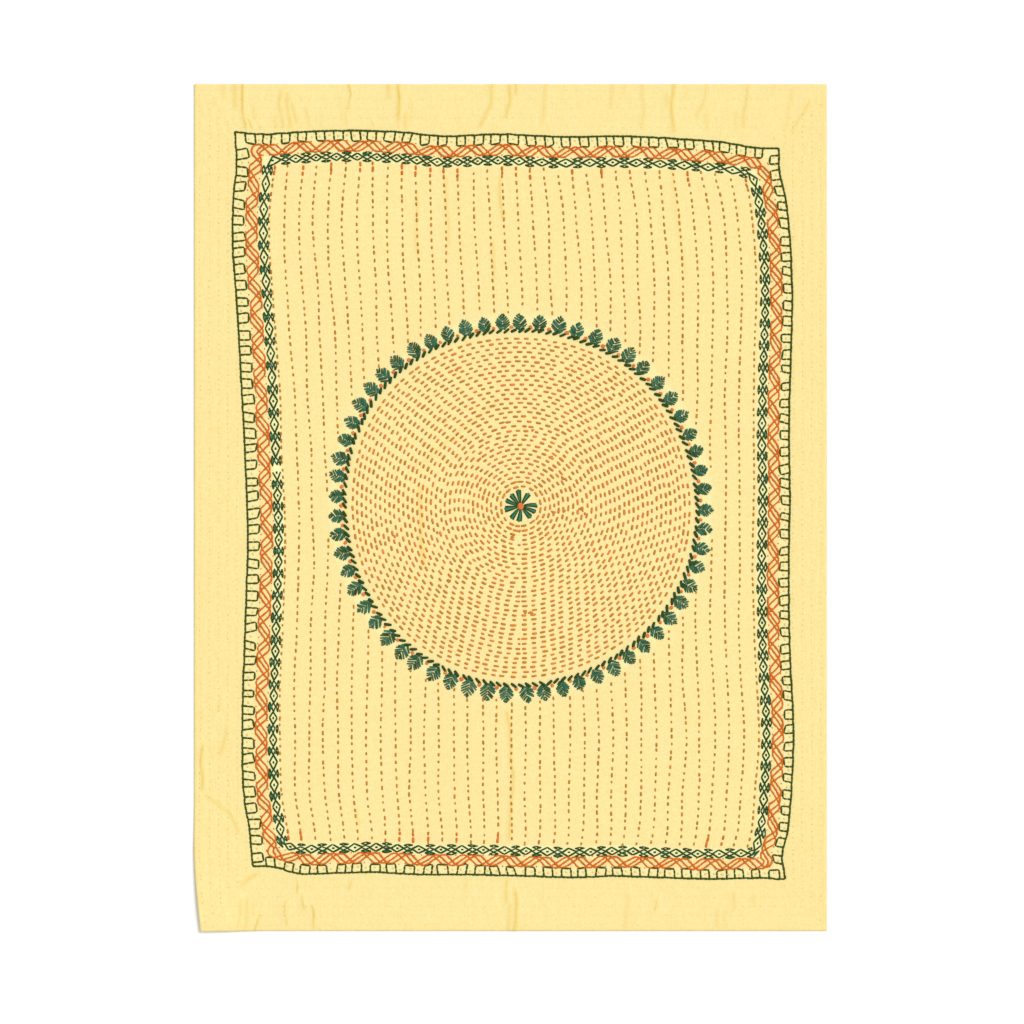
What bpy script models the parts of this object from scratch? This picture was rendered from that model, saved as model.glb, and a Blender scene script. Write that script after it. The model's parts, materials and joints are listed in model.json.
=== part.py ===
"""A cot-size kantha quilt, lying face up: thin cotton layers stitched through into one cloth.

The quilt is one piece, so it is one solid: a sheet of even thickness. It lies flat on
the surface z = 0, rises a little over its soft creases, and lifts at one corner where
the edge draws in. X runs across the quilt, Y runs up its length, and the origin is on
the surface, under the middle of the quilt. All sizes are in metres.
"""

import math
from typing import NamedTuple

import bmesh
import bpy

# The cloth.
QUILT_WIDTH = 0.680
QUILT_LENGTH = 0.910
CLOTH_THICKNESS = 0.0026
GRID_CELL = 0.013  # the sheet's facets are about this wide

# The near left corner: its side edge draws in, and the corner lifts off the surface.
DRAWN_IN = 0.0075
DRAWN_IN_LENGTH = 0.090
DRAWN_IN_POWER = 1.5
DRAWN_IN_REACH = 0.060
CORNER_LIFT = 0.0060
CORNER_REACH_ACROSS = 0.080
CORNER_REACH_ALONG = 0.150

# The cotton.
COTTON_YELLOW = (0.98, 0.80, 0.34, 1.0)
COTTON_ROUGHNESS = 0.9


class Crease(NamedTuple):
    """A soft ridge between two points of the cloth."""

    name: str
    x_start: float
    y_start: float
    x_end: float
    y_end: float
    height: float
    half_width: float


CREASES = (
    Crease("head_left", -0.291, 0.455, -0.283, 0.395, 0.0022, 0.026),
    Crease("head_short", -0.175, 0.455, -0.172, 0.420, 0.0016, 0.024),
    Crease("head_mid_left", -0.124, 0.455, -0.118, 0.400, 0.0014, 0.026),
    Crease("head_fold", 0.004, 0.455, 0.007, 0.250, 0.0018, 0.024),
    Crease("head_right", 0.176, 0.455, 0.168, 0.395, 0.0016, 0.028),
    Crease("disc", -0.093, 0.050, -0.092, -0.085, 0.0020, 0.026),
    Crease("left_edge", -0.312, -0.190, -0.306, -0.280, 0.0014, 0.026),
    Crease("left_corner", -0.325, -0.268, -0.282, -0.355, 0.0018, 0.026),
    Crease("foot_left", -0.289, -0.455, -0.276, -0.400, 0.0020, 0.026),
    Crease("foot_mid_left", -0.229, -0.455, -0.226, -0.400, 0.0016, 0.026),
    Crease("foot_fold", 0.004, -0.455, 0.006, -0.240, 0.0020, 0.024),
    Crease("foot_right", 0.155, -0.455, 0.160, -0.405, 0.0014, 0.026),
)


def eased(share):
    """0 to 1 with a soft start and a soft end, for a share from 0 to 1."""
    share = min(max(share, 0.0), 1.0)
    return share * share * (3.0 - 2.0 * share)


def crease_height(crease, x, y):
    """The ridge's height: full on the line between its ends, and eased to nothing away from it."""
    across, along = crease.x_end - crease.x_start, crease.y_end - crease.y_start
    length = math.hypot(across, along)
    share = ((x - crease.x_start) * across + (y - crease.y_start) * along) / length**2
    share = min(max(share, 0.0), 1.0)
    nearest_x = crease.x_start + share * across
    nearest_y = crease.y_start + share * along
    away = math.hypot(x - nearest_x, y - nearest_y)
    return crease.height * eased(1.0 - away / crease.half_width)


def corner_height(x, y):
    """The lift of the near left corner, eased to nothing across and along the quilt."""
    across = 1.0 - (x + QUILT_WIDTH / 2) / CORNER_REACH_ACROSS
    along = 1.0 - (y + QUILT_LENGTH / 2) / CORNER_REACH_ALONG
    return CORNER_LIFT * eased(across) * eased(along)


def cloth_height(x, y):
    """How far the cloth's underside is off the surface."""
    ridges = max(crease_height(crease, x, y) for crease in CREASES)
    return max(ridges, corner_height(x, y))


def drawn_in(x, y):
    """How far the cloth moves in from the left edge: most at the corner's tip, none past the reach."""
    along = 1.0 - (y + QUILT_LENGTH / 2) / DRAWN_IN_LENGTH
    across = 1.0 - (x + QUILT_WIDTH / 2) / DRAWN_IN_REACH
    return DRAWN_IN * max(along, 0.0) ** DRAWN_IN_POWER * max(across, 0.0)


def place(vertex):
    """Moves a vertex of the flat grid to the cloth's top face."""
    x, y = vertex.co.x, vertex.co.y
    vertex.co.x = x + drawn_in(x, y)
    vertex.co.z = CLOTH_THICKNESS + cloth_height(x, y)


def cotton():
    """Pale yellow cotton, with no gloss."""
    material = bpy.data.materials.new("yellow_cotton")
    material.use_nodes = True
    shader = material.node_tree.nodes["Principled BSDF"]
    shader.inputs["Base Color"].default_value = COTTON_YELLOW
    shader.inputs["Roughness"].default_value = COTTON_ROUGHNESS
    shader.inputs["Metallic"].default_value = 0.0
    return material


def quilt():
    """The whole quilt: a grid on the cloth's top face, thickened downwards."""
    sheet = bmesh.new()
    bmesh.ops.create_grid(
        sheet,
        x_segments=round(QUILT_WIDTH / GRID_CELL),
        y_segments=round(QUILT_LENGTH / GRID_CELL),
        size=0.5,
    )
    bmesh.ops.scale(sheet, vec=(QUILT_WIDTH, QUILT_LENGTH, 1.0), verts=sheet.verts)
    for vertex in sheet.verts:
        place(vertex)
    mesh = bpy.data.meshes.new("quilt")
    sheet.to_mesh(mesh)
    sheet.free()
    mesh.materials.append(cotton())
    piece = bpy.data.objects.new("quilt", mesh)
    bpy.context.scene.collection.objects.link(piece)
    thickness = piece.modifiers.new("thickness", "SOLIDIFY")
    thickness.thickness = CLOTH_THICKNESS
    thickness.offset = -1.0
    mesh.shade_smooth()
    return piece


def main():
    for obj in list(bpy.data.objects):
        bpy.data.objects.remove(obj)
    quilt()


if __name__ == "__main__":
    main()
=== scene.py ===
"""A cot-size kantha quilt, finished: quilted cotton, running stitch and embroidery in thread.

The cloth is one closed sheet with the frame's outline and lifted corner, and with narrow
creases of its own. Every stitch is a thread that lies on the cloth and dips into it at both
ends. Sizes are in metres. X runs across the quilt, Y up its length, and a place on the quilt
is given on the flat cloth first: lay() then puts it on the cloth as it lies.
"""

import json
import math
from typing import NamedTuple

import bpy
import numpy as np
from bpy.props import FloatProperty, FloatVectorProperty, PointerProperty
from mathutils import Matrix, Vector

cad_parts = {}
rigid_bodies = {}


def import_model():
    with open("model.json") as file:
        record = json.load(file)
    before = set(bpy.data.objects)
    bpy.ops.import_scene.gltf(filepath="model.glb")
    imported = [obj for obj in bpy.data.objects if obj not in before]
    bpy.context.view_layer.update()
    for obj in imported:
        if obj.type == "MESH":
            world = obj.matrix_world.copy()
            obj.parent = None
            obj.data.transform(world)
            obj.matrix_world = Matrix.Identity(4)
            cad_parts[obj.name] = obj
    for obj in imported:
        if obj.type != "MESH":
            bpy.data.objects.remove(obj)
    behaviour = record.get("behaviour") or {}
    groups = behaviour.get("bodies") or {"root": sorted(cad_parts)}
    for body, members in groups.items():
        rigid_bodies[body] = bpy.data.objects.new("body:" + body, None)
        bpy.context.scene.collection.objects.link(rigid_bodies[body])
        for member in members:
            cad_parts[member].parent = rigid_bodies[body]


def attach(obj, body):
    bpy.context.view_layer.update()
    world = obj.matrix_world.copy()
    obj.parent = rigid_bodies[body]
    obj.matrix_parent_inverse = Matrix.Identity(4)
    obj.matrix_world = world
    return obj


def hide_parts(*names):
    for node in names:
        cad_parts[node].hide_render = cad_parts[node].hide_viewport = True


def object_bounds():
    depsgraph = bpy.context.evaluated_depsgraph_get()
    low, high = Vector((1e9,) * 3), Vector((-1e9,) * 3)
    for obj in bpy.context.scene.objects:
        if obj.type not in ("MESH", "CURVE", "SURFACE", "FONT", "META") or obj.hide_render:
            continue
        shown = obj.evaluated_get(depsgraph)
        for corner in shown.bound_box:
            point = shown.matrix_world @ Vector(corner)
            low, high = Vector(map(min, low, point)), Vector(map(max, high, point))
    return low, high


bl_info = {
    "name": "Kantha Quilt",
    "version": (1, 0, 0),
    "blender": (4, 5, 0),
    "location": "View3D > Sidebar > Kantha",
    "description": "Adds the cloth, quilting and embroidery of a kantha quilt",
    "category": "Add Mesh",
}

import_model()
CAD_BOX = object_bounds()

# The cloth's outline is the frame's to the millimetre, and so is the corner that draws in and
# lifts. Its creases are narrower and lower than the frame's broad ones.
LEFT_EDGE, BOTTOM_EDGE = (round(place, 3) for place in CAD_BOX[0][:2])
RIGHT_EDGE, TOP_EDGE = (round(place, 3) for place in CAD_BOX[1][:2])
CLOTH_THICKNESS = 0.0026
DRAWN_IN = 0.0075
DRAWN_IN_LENGTH = 0.090
DRAWN_IN_POWER = 1.5
DRAWN_IN_REACH = 0.060
CORNER_LIFT = 0.0060
CORNER_REACH_ACROSS = 0.080
CORNER_REACH_ALONG = 0.150

# The cloth's grid. Its columns follow the stitched rows, six to a gap between orange ones, and
# its back is coarser.
EDGE_CELL = 0.00235
EDGE_CELLS = 17
BAND_CELLS = 16
CELLS_PER_ROW = 6
LENGTH_CELLS = 272
BACK_STEP = 3
BACK_GAP = 0.0001  # from the surface up to the underside
HEM_RADIUS = 0.0011
HEM_RINGS = 3

# Rows of quilting.
ROW_COUNT = 34
FIRST_BORDER_ROW = 0.0064
BORDER_ROW_PITCH = 0.0100
BORDER_ROWS = 6
HEM_WIDTH = 0.0062

# The disc.
DISC_X, DISC_Y = 0.0109, 0.0014
RING_COUNT = 33
FIRST_RING = 0.0215
RING_PITCH = 0.00502
ROPE_RADIUS = 0.1911
LEAF_BASE_RADIUS = 0.1923
LEAF_LENGTH = 0.0176
LEAF_COUNT = 61
FIRST_LEAF_ANGLE = math.radians(5.9)
ROPE_STROKES = 156
ROPE_TURNED = (math.radians(243.0), math.radians(278.0))  # its strokes slant the other way here
KNOT_RADIUS = 0.1946
ROWS_STOP_RADIUS = 0.2085

TWO_PI = 2.0 * math.pi
UV_MAP = "OFBake"  # the map that the patterns are drawn on
FOLD_LAYERS = (0, 1, 2, 3)  # neighbouring creases are in different layers
TONES = 16  # a thread lies on one of this many strips of its map, each of its own shade
STRIP_MARGIN = 0.04  # of a strip, left free at each side
THREAD_SIDES = 5
TIP_DEPTH = 0.35  # of a thread's width, that its ends are sunk into the cloth
NOISE_SPAN = 64


class Fold(NamedTuple):
    """A crease from its start over its bend to its end, and how strong its line and band are."""

    x_start: float
    y_start: float
    x_bend: float
    y_bend: float
    x_end: float
    y_end: float
    line: float
    band: float


FOLD_HEIGHT = 0.00075  # of a crease whose line or band is 1
FOLD_HALF_WIDTH = 0.0055
FOLD_WANDER = 0.0014  # so that no crease runs quite straight
FOLD_END = 0.006  # over which a crease fades at its ends
LINE_HALF_WIDTH = 0.0017
BAND_HALF_WIDTH = 0.0052
BAND_FADE = 0.0022
FOLDS = (
    # Across the head border.
    Fold(-0.308, 0.462, -0.308, 0.452, -0.308, 0.438, 0.10, 0.50),
    Fold(-0.296, 0.462, -0.296, 0.446, -0.296, 0.427, 0.20, 0.85),
    Fold(-0.288, 0.462, -0.288, 0.427, -0.284, 0.404, 1.00, 0.50),
    Fold(-0.317, 0.443, -0.317, 0.436, -0.317, 0.428, 0.00, 0.50),
    Fold(-0.283, 0.420, -0.280, 0.412, -0.276, 0.404, 0.75, 0.20),
    Fold(-0.277, 0.435, -0.276, 0.424, -0.274, 0.413, 0.20, 0.40),
    Fold(-0.274, 0.418, -0.271, 0.411, -0.268, 0.403, 0.45, 0.20),
    Fold(-0.255, 0.424, -0.254, 0.415, -0.253, 0.405, 0.15, 0.45),
    Fold(-0.337, 0.456, -0.337, 0.451, -0.337, 0.446, 0.10, 0.45),
    Fold(-0.202, 0.428, -0.202, 0.417, -0.202, 0.406, 0.25, 0.15),
    Fold(-0.107, 0.440, -0.107, 0.428, -0.107, 0.412, 0.05, 0.40),
    Fold(-0.151, 0.420, -0.149, 0.414, -0.146, 0.407, 0.60, 0.10),
    Fold(-0.123, 0.418, -0.121, 0.411, -0.119, 0.403, 0.40, 0.10),
    Fold(-0.246, 0.452, -0.250, 0.434, -0.244, 0.405, 0.40, 0.65),
    Fold(-0.240, 0.449, -0.241, 0.430, -0.236, 0.405, 0.25, 0.80),
    Fold(-0.236, 0.438, -0.234, 0.427, -0.229, 0.410, 0.45, 0.55),
    Fold(-0.221, 0.432, -0.217, 0.418, -0.213, 0.406, 0.35, 0.30),
    Fold(-0.176, 0.462, -0.171, 0.444, -0.175, 0.424, 1.00, 0.25),
    Fold(-0.177, 0.428, -0.177, 0.420, -0.176, 0.408, 0.15, 0.40),
    Fold(-0.130, 0.462, -0.130, 0.450, -0.130, 0.436, 0.10, 0.80),
    Fold(-0.121, 0.462, -0.119, 0.440, -0.122, 0.411, 0.65, 1.00),
    Fold(-0.113, 0.428, -0.114, 0.418, -0.112, 0.404, 0.30, 0.65),
    Fold(-0.021, 0.462, -0.020, 0.434, -0.034, 0.406, 0.25, 0.85),
    Fold(-0.003, 0.462, 0.000, 0.438, -0.005, 0.416, 0.50, 0.75),
    Fold(0.005, 0.462, 0.005, 0.453, 0.006, 0.440, 0.50, 0.70),
    Fold(0.037, 0.462, 0.036, 0.432, 0.034, 0.408, 0.15, 0.55),
    Fold(0.110, 0.462, 0.109, 0.445, 0.106, 0.427, 0.15, 0.55),
    Fold(0.122, 0.462, 0.122, 0.450, 0.122, 0.440, 0.05, 0.40),
    Fold(0.140, 0.462, 0.144, 0.430, 0.141, 0.404, 0.20, 0.50),
    Fold(0.176, 0.462, 0.173, 0.434, 0.176, 0.400, 0.50, 0.95),
    Fold(0.168, 0.450, 0.168, 0.438, 0.168, 0.426, 0.10, 0.60),
    Fold(0.188, 0.452, 0.188, 0.444, 0.188, 0.436, 0.05, 0.40),
    Fold(0.211, 0.458, 0.206, 0.431, 0.200, 0.418, 0.20, 0.50),
    Fold(0.212, 0.428, 0.211, 0.416, 0.210, 0.404, 0.15, 0.45),
    Fold(0.255, 0.458, 0.252, 0.427, 0.250, 0.405, 0.15, 0.65),
    Fold(0.244, 0.430, 0.243, 0.416, 0.241, 0.402, 0.05, 0.50),
    Fold(0.285, 0.458, 0.283, 0.448, 0.280, 0.440, 0.10, 0.40),
    Fold(0.306, 0.454, 0.298, 0.426, 0.295, 0.404, 0.10, 0.45),
    Fold(0.325, 0.440, 0.309, 0.417, 0.299, 0.401, 0.30, 0.45),
    # Across the foot border.
    Fold(-0.266, -0.391, -0.278, -0.397, -0.290, -0.407, 0.20, 0.75),
    Fold(-0.289, -0.418, -0.291, -0.435, -0.294, -0.455, 0.30, 0.40),
    Fold(-0.282, -0.418, -0.284, -0.436, -0.285, -0.462, 0.25, 0.50),
    Fold(-0.275, -0.420, -0.276, -0.430, -0.278, -0.442, 0.15, 0.40),
    Fold(-0.270, -0.434, -0.273, -0.446, -0.276, -0.462, 0.80, 0.40),
    Fold(-0.240, -0.420, -0.243, -0.435, -0.240, -0.452, 0.60, 0.30),
    Fold(-0.229, -0.396, -0.229, -0.405, -0.230, -0.417, 0.80, 0.20),
    Fold(-0.220, -0.396, -0.220, -0.403, -0.220, -0.410, 0.25, 0.20),
    Fold(-0.225, -0.413, -0.223, -0.424, -0.220, -0.435, 0.85, 0.20),
    Fold(-0.214, -0.424, -0.211, -0.436, -0.212, -0.455, 0.90, 0.45),
    Fold(-0.169, -0.396, -0.172, -0.404, -0.175, -0.413, 0.40, 0.50),
    Fold(-0.047, -0.396, -0.047, -0.404, -0.048, -0.414, 0.30, 0.35),
    Fold(-0.003, -0.394, -0.004, -0.412, -0.006, -0.428, 0.35, 0.65),
    Fold(-0.002, -0.422, -0.002, -0.440, -0.002, -0.462, 0.25, 0.50),
    Fold(0.006, -0.408, 0.005, -0.432, 0.005, -0.462, 0.45, 1.00),
    Fold(0.126, -0.412, 0.125, -0.430, 0.123, -0.455, 0.05, 0.50),
    Fold(0.158, -0.417, 0.156, -0.426, 0.154, -0.436, 0.75, 0.35),
    Fold(0.223, -0.428, 0.223, -0.440, 0.223, -0.455, 0.05, 0.60),
    Fold(0.231, -0.428, 0.231, -0.440, 0.231, -0.455, 0.05, 0.45),
    Fold(0.240, -0.410, 0.240, -0.422, 0.240, -0.436, 0.25, 0.50),
    Fold(0.261, -0.412, 0.261, -0.420, 0.260, -0.430, 0.15, 0.40),
    # Along the left border.
    Fold(-0.313, -0.205, -0.313, -0.213, -0.313, -0.222, 0.10, 0.45),
    Fold(-0.305, -0.232, -0.308, -0.250, -0.313, -0.268, 0.25, 0.60),
    Fold(-0.331, -0.252, -0.332, -0.280, -0.331, -0.306, 0.60, 0.65),
    Fold(-0.330, -0.307, -0.301, -0.330, -0.290, -0.354, 0.30, 0.55),
    # On the ground and the disc.
    Fold(-0.011, 0.359, -0.011, 0.330, -0.008, 0.306, 0.55, 0.60),
    Fold(-0.018, 0.290, -0.018, 0.265, -0.018, 0.241, 0.30, 0.50),
    Fold(-0.100, 0.343, -0.101, 0.305, -0.100, 0.267, 0.30, 0.55),
    Fold(-0.069, 0.359, -0.068, 0.320, -0.065, 0.278, 0.25, 0.50),
    Fold(0.172, 0.370, 0.180, 0.310, 0.188, 0.247, 0.10, 0.35),
    Fold(-0.107, 0.038, -0.048, 0.088, 0.004, 0.127, 0.05, 0.40),
    Fold(-0.098, 0.026, -0.097, -0.020, -0.094, -0.066, 0.15, 0.95),
    Fold(-0.168, -0.321, -0.164, -0.332, -0.159, -0.343, 0.25, 0.35),
    Fold(-0.004, -0.215, 0.003, -0.285, -0.001, -0.360, 0.45, 0.75),
)


class Station(NamedTuple):
    """A point that the border's outer line goes through on one side of the quilt."""

    along: float
    place: float


LEFT_LINE = (
    Station(-0.385, -0.2770),
    Station(-0.352, -0.2796),
    Station(-0.309, -0.2862),
    Station(-0.255, -0.2881),
    Station(-0.137, -0.2852),
    Station(-0.030, -0.2822),
    Station(0.056, -0.2852),
    Station(0.142, -0.2895),
    Station(0.228, -0.2947),
    Station(0.282, -0.2984),
    Station(0.336, -0.2974),
    Station(0.368, -0.2942),
    Station(0.404, -0.2962),
)
RIGHT_LINE = (
    Station(-0.399, 0.2953),
    Station(-0.373, 0.2919),
    Station(-0.352, 0.2970),
    Station(-0.309, 0.3013),
    Station(-0.244, 0.3041),
    Station(-0.158, 0.3003),
    Station(-0.051, 0.2990),
    Station(0.013, 0.3002),
    Station(0.078, 0.2992),
    Station(0.142, 0.3005),
    Station(0.228, 0.3026),
    Station(0.293, 0.2999),
    Station(0.336, 0.2946),
    Station(0.357, 0.2896),
    Station(0.386, 0.2881),
)
TOP_LINE = (
    Station(-0.296, 0.4037),
    Station(-0.270, 0.4009),
    Station(-0.226, 0.4034),
    Station(-0.172, 0.4051),
    Station(-0.119, 0.4032),
    Station(-0.076, 0.3992),
    Station(-0.011, 0.4010),
    Station(0.053, 0.3982),
    Station(0.118, 0.3988),
    Station(0.182, 0.3960),
    Station(0.225, 0.3928),
    Station(0.273, 0.3858),
    Station(0.288, 0.3862),
)
BOTTOM_LINE = (
    Station(-0.277, -0.3853),
    Station(-0.253, -0.3862),
    Station(-0.232, -0.3923),
    Station(-0.188, -0.3927),
    Station(-0.146, -0.3917),
    Station(-0.103, -0.3939),
    Station(-0.038, -0.3944),
    Station(0.026, -0.3961),
    Station(0.069, -0.3972),
    Station(0.112, -0.3958),
    Station(0.155, -0.3971),
    Station(0.220, -0.3990),
    Station(0.263, -0.3979),
    Station(0.295, -0.3991),
)


class Side(NamedTuple):
    """One side of the border: its outer line, its squares, and how deep inside each band lies."""

    line: tuple
    upright: bool
    inward: int
    blocks: int
    first_block: float
    last_block: float
    block_depth: float
    plait_depth: float
    plait_half: float
    diamond_depth: float
    row_depth: float


LEFT = Side(
    LEFT_LINE, True, 1, 44, 0.3788, -0.3754, 0.0122, 0.0204, 0.0061, 0.0332, 0.0400
)
RIGHT = Side(
    RIGHT_LINE, True, -1, 44, -0.3788, 0.3752, 0.0098, 0.0168, 0.0057, 0.0291, 0.0383
)
TOP = Side(
    TOP_LINE, False, -1, 30, 0.2672, -0.2799, 0.0104, 0.0166, 0.0056, 0.0281, 0.0325
)
BOTTOM = Side(
    BOTTOM_LINE, False, 1, 30, -0.2576, 0.2831, 0.0097, 0.0156, 0.0055, 0.0268, 0.0318
)
# Round the border from the bottom left corner, so that inside is on the left.
SIDES = (BOTTOM, RIGHT, TOP, LEFT)


class Pace(NamedTuple):
    """Where the chain of diamonds has its diamond of this number, along a side of the border."""

    number: int
    side: Side
    along: float


DIAMOND_COUNT = 104
OPEN_DIAMOND = 87  # where the chain was begun and finished, it doesn't quite close
FIRST_LEFT_DIAMOND = 75
PACES = (
    Pace(0, BOTTOM, -0.2362),
    Pace(21, BOTTOM, 0.2474),
    Pace(22, RIGHT, -0.3604),
    Pace(52, RIGHT, 0.3520),
    Pace(53, TOP, 0.2365),
    Pace(62, TOP, 0.0074),
    Pace(74, TOP, -0.2530),
    Pace(75, LEFT, 0.3465),
    Pace(87, LEFT, 0.0370),
    Pace(103, LEFT, -0.3460),
)


class Petal(NamedTuple):
    """A petal of the flower: its direction, its reach, its end's width, and its end's bend."""

    degrees: float
    reach: float
    width: float
    bend: float


PETAL_START = 0.0030
PETAL_START_WIDTH = 0.0011
PETALS = (
    Petal(97.4, 0.0177, 0.0054, 0.0004),
    Petal(58.7, 0.0158, 0.0056, -0.0004),
    Petal(12.0, 0.0172, 0.0048, -0.0030),
    Petal(-18.0, 0.0172, 0.0046, -0.0010),
    Petal(-49.5, 0.0162, 0.0056, 0.0003),
    Petal(-91.0, 0.0166, 0.0058, -0.0016),
    Petal(-129.0, 0.0164, 0.0057, 0.0006),
    Petal(-168.0, 0.0172, 0.0066, -0.0004),
    Petal(160.0, 0.0168, 0.0048, -0.0006),
    Petal(131.0, 0.0160, 0.0057, -0.0006),
)


class Sway(NamedTuple):
    """A wave round the leaf ring: how often it goes round, and its two parts."""

    times: int
    cosine: float
    sine: float


RING_SWAYS = (
    Sway(1, -0.0007, -0.0006),
    Sway(2, -0.0006, -0.0012),
    Sway(3, 0.0009, 0.0008),
    Sway(4, -0.0008, -0.0006),
    Sway(5, 0.0002, -0.0004),
)
# How far the leaves stray from even steps, in radians.
LEAF_SWAYS = (
    Sway(1, -0.007, 0.013),
    Sway(2, -0.009, 0.010),
)
# How much larger or smaller the leaves are at an angle of the ring, as a share.
LEAF_SIZE_SWAYS = (
    Sway(1, -0.03, -0.01),
    Sway(2, -0.04, 0.01),
    Sway(4, -0.02, -0.03),
)


class LeafStitch(NamedTuple):
    """Two of a leaf's stitches, one to each side: where they start and end, out and aside."""

    out: float
    aside: float
    foot_out: float
    foot_aside: float


LEAF_STITCHES = (
    LeafStitch(0.0036, 0.0054, -0.0010, 0.0006),
    LeafStitch(0.0060, 0.0078, 0.0003, -0.0003),
    LeafStitch(0.0085, 0.0083, 0.0024, -0.0004),
    LeafStitch(0.0109, 0.0078, 0.0047, -0.0004),
    LeafStitch(0.0131, 0.0067, 0.0072, -0.0004),
    LeafStitch(0.0151, 0.0050, 0.0099, -0.0003),
    LeafStitch(0.0168, 0.0028, 0.0128, -0.0003),
    LeafStitch(0.0181, 0.0005, 0.0155, 0.0002),
)


class Knot(NamedTuple):
    """A place where a thread was started or fastened off with a few stitches on the spot."""

    x: float
    y: float
    size: float


STRAY_KNOTS = (
    Knot(0.0463, -0.0053, 0.0034),
    Knot(0.0580, -0.0040, 0.0030),
    Knot(0.0750, -0.0014, 0.0034),
    Knot(0.0802, -0.0066, 0.0024),
    Knot(0.0567, 0.0312, 0.0040),
    Knot(-0.0786, -0.0274, 0.0026),
    Knot(-0.0656, -0.0782, 0.0032),
    Knot(0.0216, -0.1133, 0.0040),
    Knot(0.0158, -0.1133, 0.0026),
    Knot(-0.0624, 0.0585, 0.0030),
    Knot(0.0437, 0.0546, 0.0026),
    Knot(0.0021, -0.0314, 0.0026),
    Knot(0.0099, -0.0248, 0.0026),
    Knot(0.1010, 0.1170, 0.0034),
    Knot(-0.0580, 0.1480, 0.0030),
    Knot(0.0240, 0.0830, 0.0028),
    Knot(0.1480, 0.0390, 0.0026),
    Knot(-0.1240, -0.0310, 0.0026),
)


# ---------------------------------------------------------------- curves and noise


def eased(share):
    """0 to 1 with a soft start and end: three times the share squared less twice its cube."""
    share = np.clip(share, 0.0, 1.0)
    return share * share * (3.0 - 2.0 * share)


def soft_noise(x, y, across, along, seed):
    """Heights from -1 to 1: random numbers on a lattice of cells, eased between its corners."""
    lattice = np.random.default_rng(seed).uniform(-1.0, 1.0, (NOISE_SPAN, NOISE_SPAN))
    u = x / across + NOISE_SPAN / 2
    v = y / along + NOISE_SPAN / 2
    column, row = np.floor(u).astype(int), np.floor(v).astype(int)
    right, up = eased(u - column), eased(v - row)
    column, row = column % NOISE_SPAN, row % NOISE_SPAN
    next_column, next_row = (column + 1) % NOISE_SPAN, (row + 1) % NOISE_SPAN
    low = lattice[column, row] * (1.0 - right) + lattice[next_column, row] * right
    high = lattice[column, next_row] * (1.0 - right) + lattice[next_column, next_row] * right
    return low * (1.0 - up) + high * up


def line_at(side, along):
    """The outer line's place: a cubic through the stations, with their mean slopes at each."""
    stations = np.array(side.line)
    knots, places = stations[:, 0], stations[:, 1]
    slopes = np.gradient(places, knots)
    along = np.clip(along, knots[0], knots[-1])
    span = np.clip(np.searchsorted(knots, along, side="right") - 1, 0, len(knots) - 2)
    length = knots[span + 1] - knots[span]
    share = (along - knots[span]) / length
    start_weight = (1.0 + 2.0 * share) * (1.0 - share) ** 2
    end_weight = share**2 * (3.0 - 2.0 * share)
    start_slope = share * (1.0 - share) ** 2 * length
    end_slope = share**2 * (share - 1.0) * length
    return (
        start_weight * places[span]
        + end_weight * places[span + 1]
        + start_slope * slopes[span]
        + end_slope * slopes[span + 1]
    )


def on_side(side, along, depth):
    """Points on a side of the border: the outer line's, moved straight inwards by the depth."""
    along = np.asarray(along, float)
    place = line_at(side, along) + side.inward * depth
    return np.stack([place, along] if side.upright else [along, place], axis=-1)


def corner_of(upright, level, upright_depth, level_depth):
    """Where two sides meet at their depths: each line is read at the other's place, by turns."""
    x, y = 0.0, level.line[0].place
    for _ in range(4):
        x = float(line_at(upright, y)) + upright.inward * upright_depth
        y = float(line_at(level, x)) + level.inward * level_depth
    return np.array([x, y])


class Loop(NamedTuple):
    """A closed line round the quilt inside the border's outline, with the band's half width."""

    points: np.ndarray
    along: np.ndarray
    half: np.ndarray
    length: float


LOOP_POINTS = 400  # along each side
BEND_POINTS = 26  # from one side's end to the next one's start, both included
SLOPE_REACH = 0.0015  # along a loop, to each side of where its direction is read


def arc_lengths(line):
    """How far along a line each of its points is: the sum of the steps before it."""
    return np.concatenate([[0.0], np.cumsum(np.hypot(*np.diff(line, axis=0).T))])


def loop_inside(band, halves, corner_radius):
    """The four sides at a band's depths, joined by a bend at each corner.

    Each side stops the corner radius short of the corner, and a quadratic curve with the
    corner as its middle point joins it to the next side.
    """
    corners = [
        corner_of(upright, level, getattr(upright, band), getattr(level, band))
        for level, upright in ((BOTTOM, LEFT), (BOTTOM, RIGHT), (TOP, RIGHT), (TOP, LEFT))
    ]
    stretches = []
    for side, corner, next_corner in zip(SIDES, corners, corners[1:] + corners[:1]):
        start, end = (place[1 if side.upright else 0] for place in (corner, next_corner))
        short = math.copysign(corner_radius, end - start)
        along = np.linspace(start + short, end - short, LOOP_POINTS)
        stretches.append(on_side(side, along, getattr(side, band)))
    share = np.linspace(0.0, 1.0, BEND_POINTS)[1:-1, None]
    pieces, widths = [], []
    for index, stretch in enumerate(stretches):
        following = (index + 1) % len(SIDES)
        leaving, corner, arriving = stretch[-1], corners[following], stretches[following][0]
        bend = (1 - share) ** 2 * leaving + 2 * share * (1 - share) * corner + share**2 * arriving
        half, next_half = halves[index], halves[following]
        pieces += [stretch, bend]
        widths += [np.full(LOOP_POINTS, half), half + (next_half - half) * share[:, 0]]
    points = np.concatenate([*pieces, pieces[0][:1]])
    along = arc_lengths(points)
    return Loop(points, along, np.concatenate([*widths, widths[0][:1]]), float(along[-1]))


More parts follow.
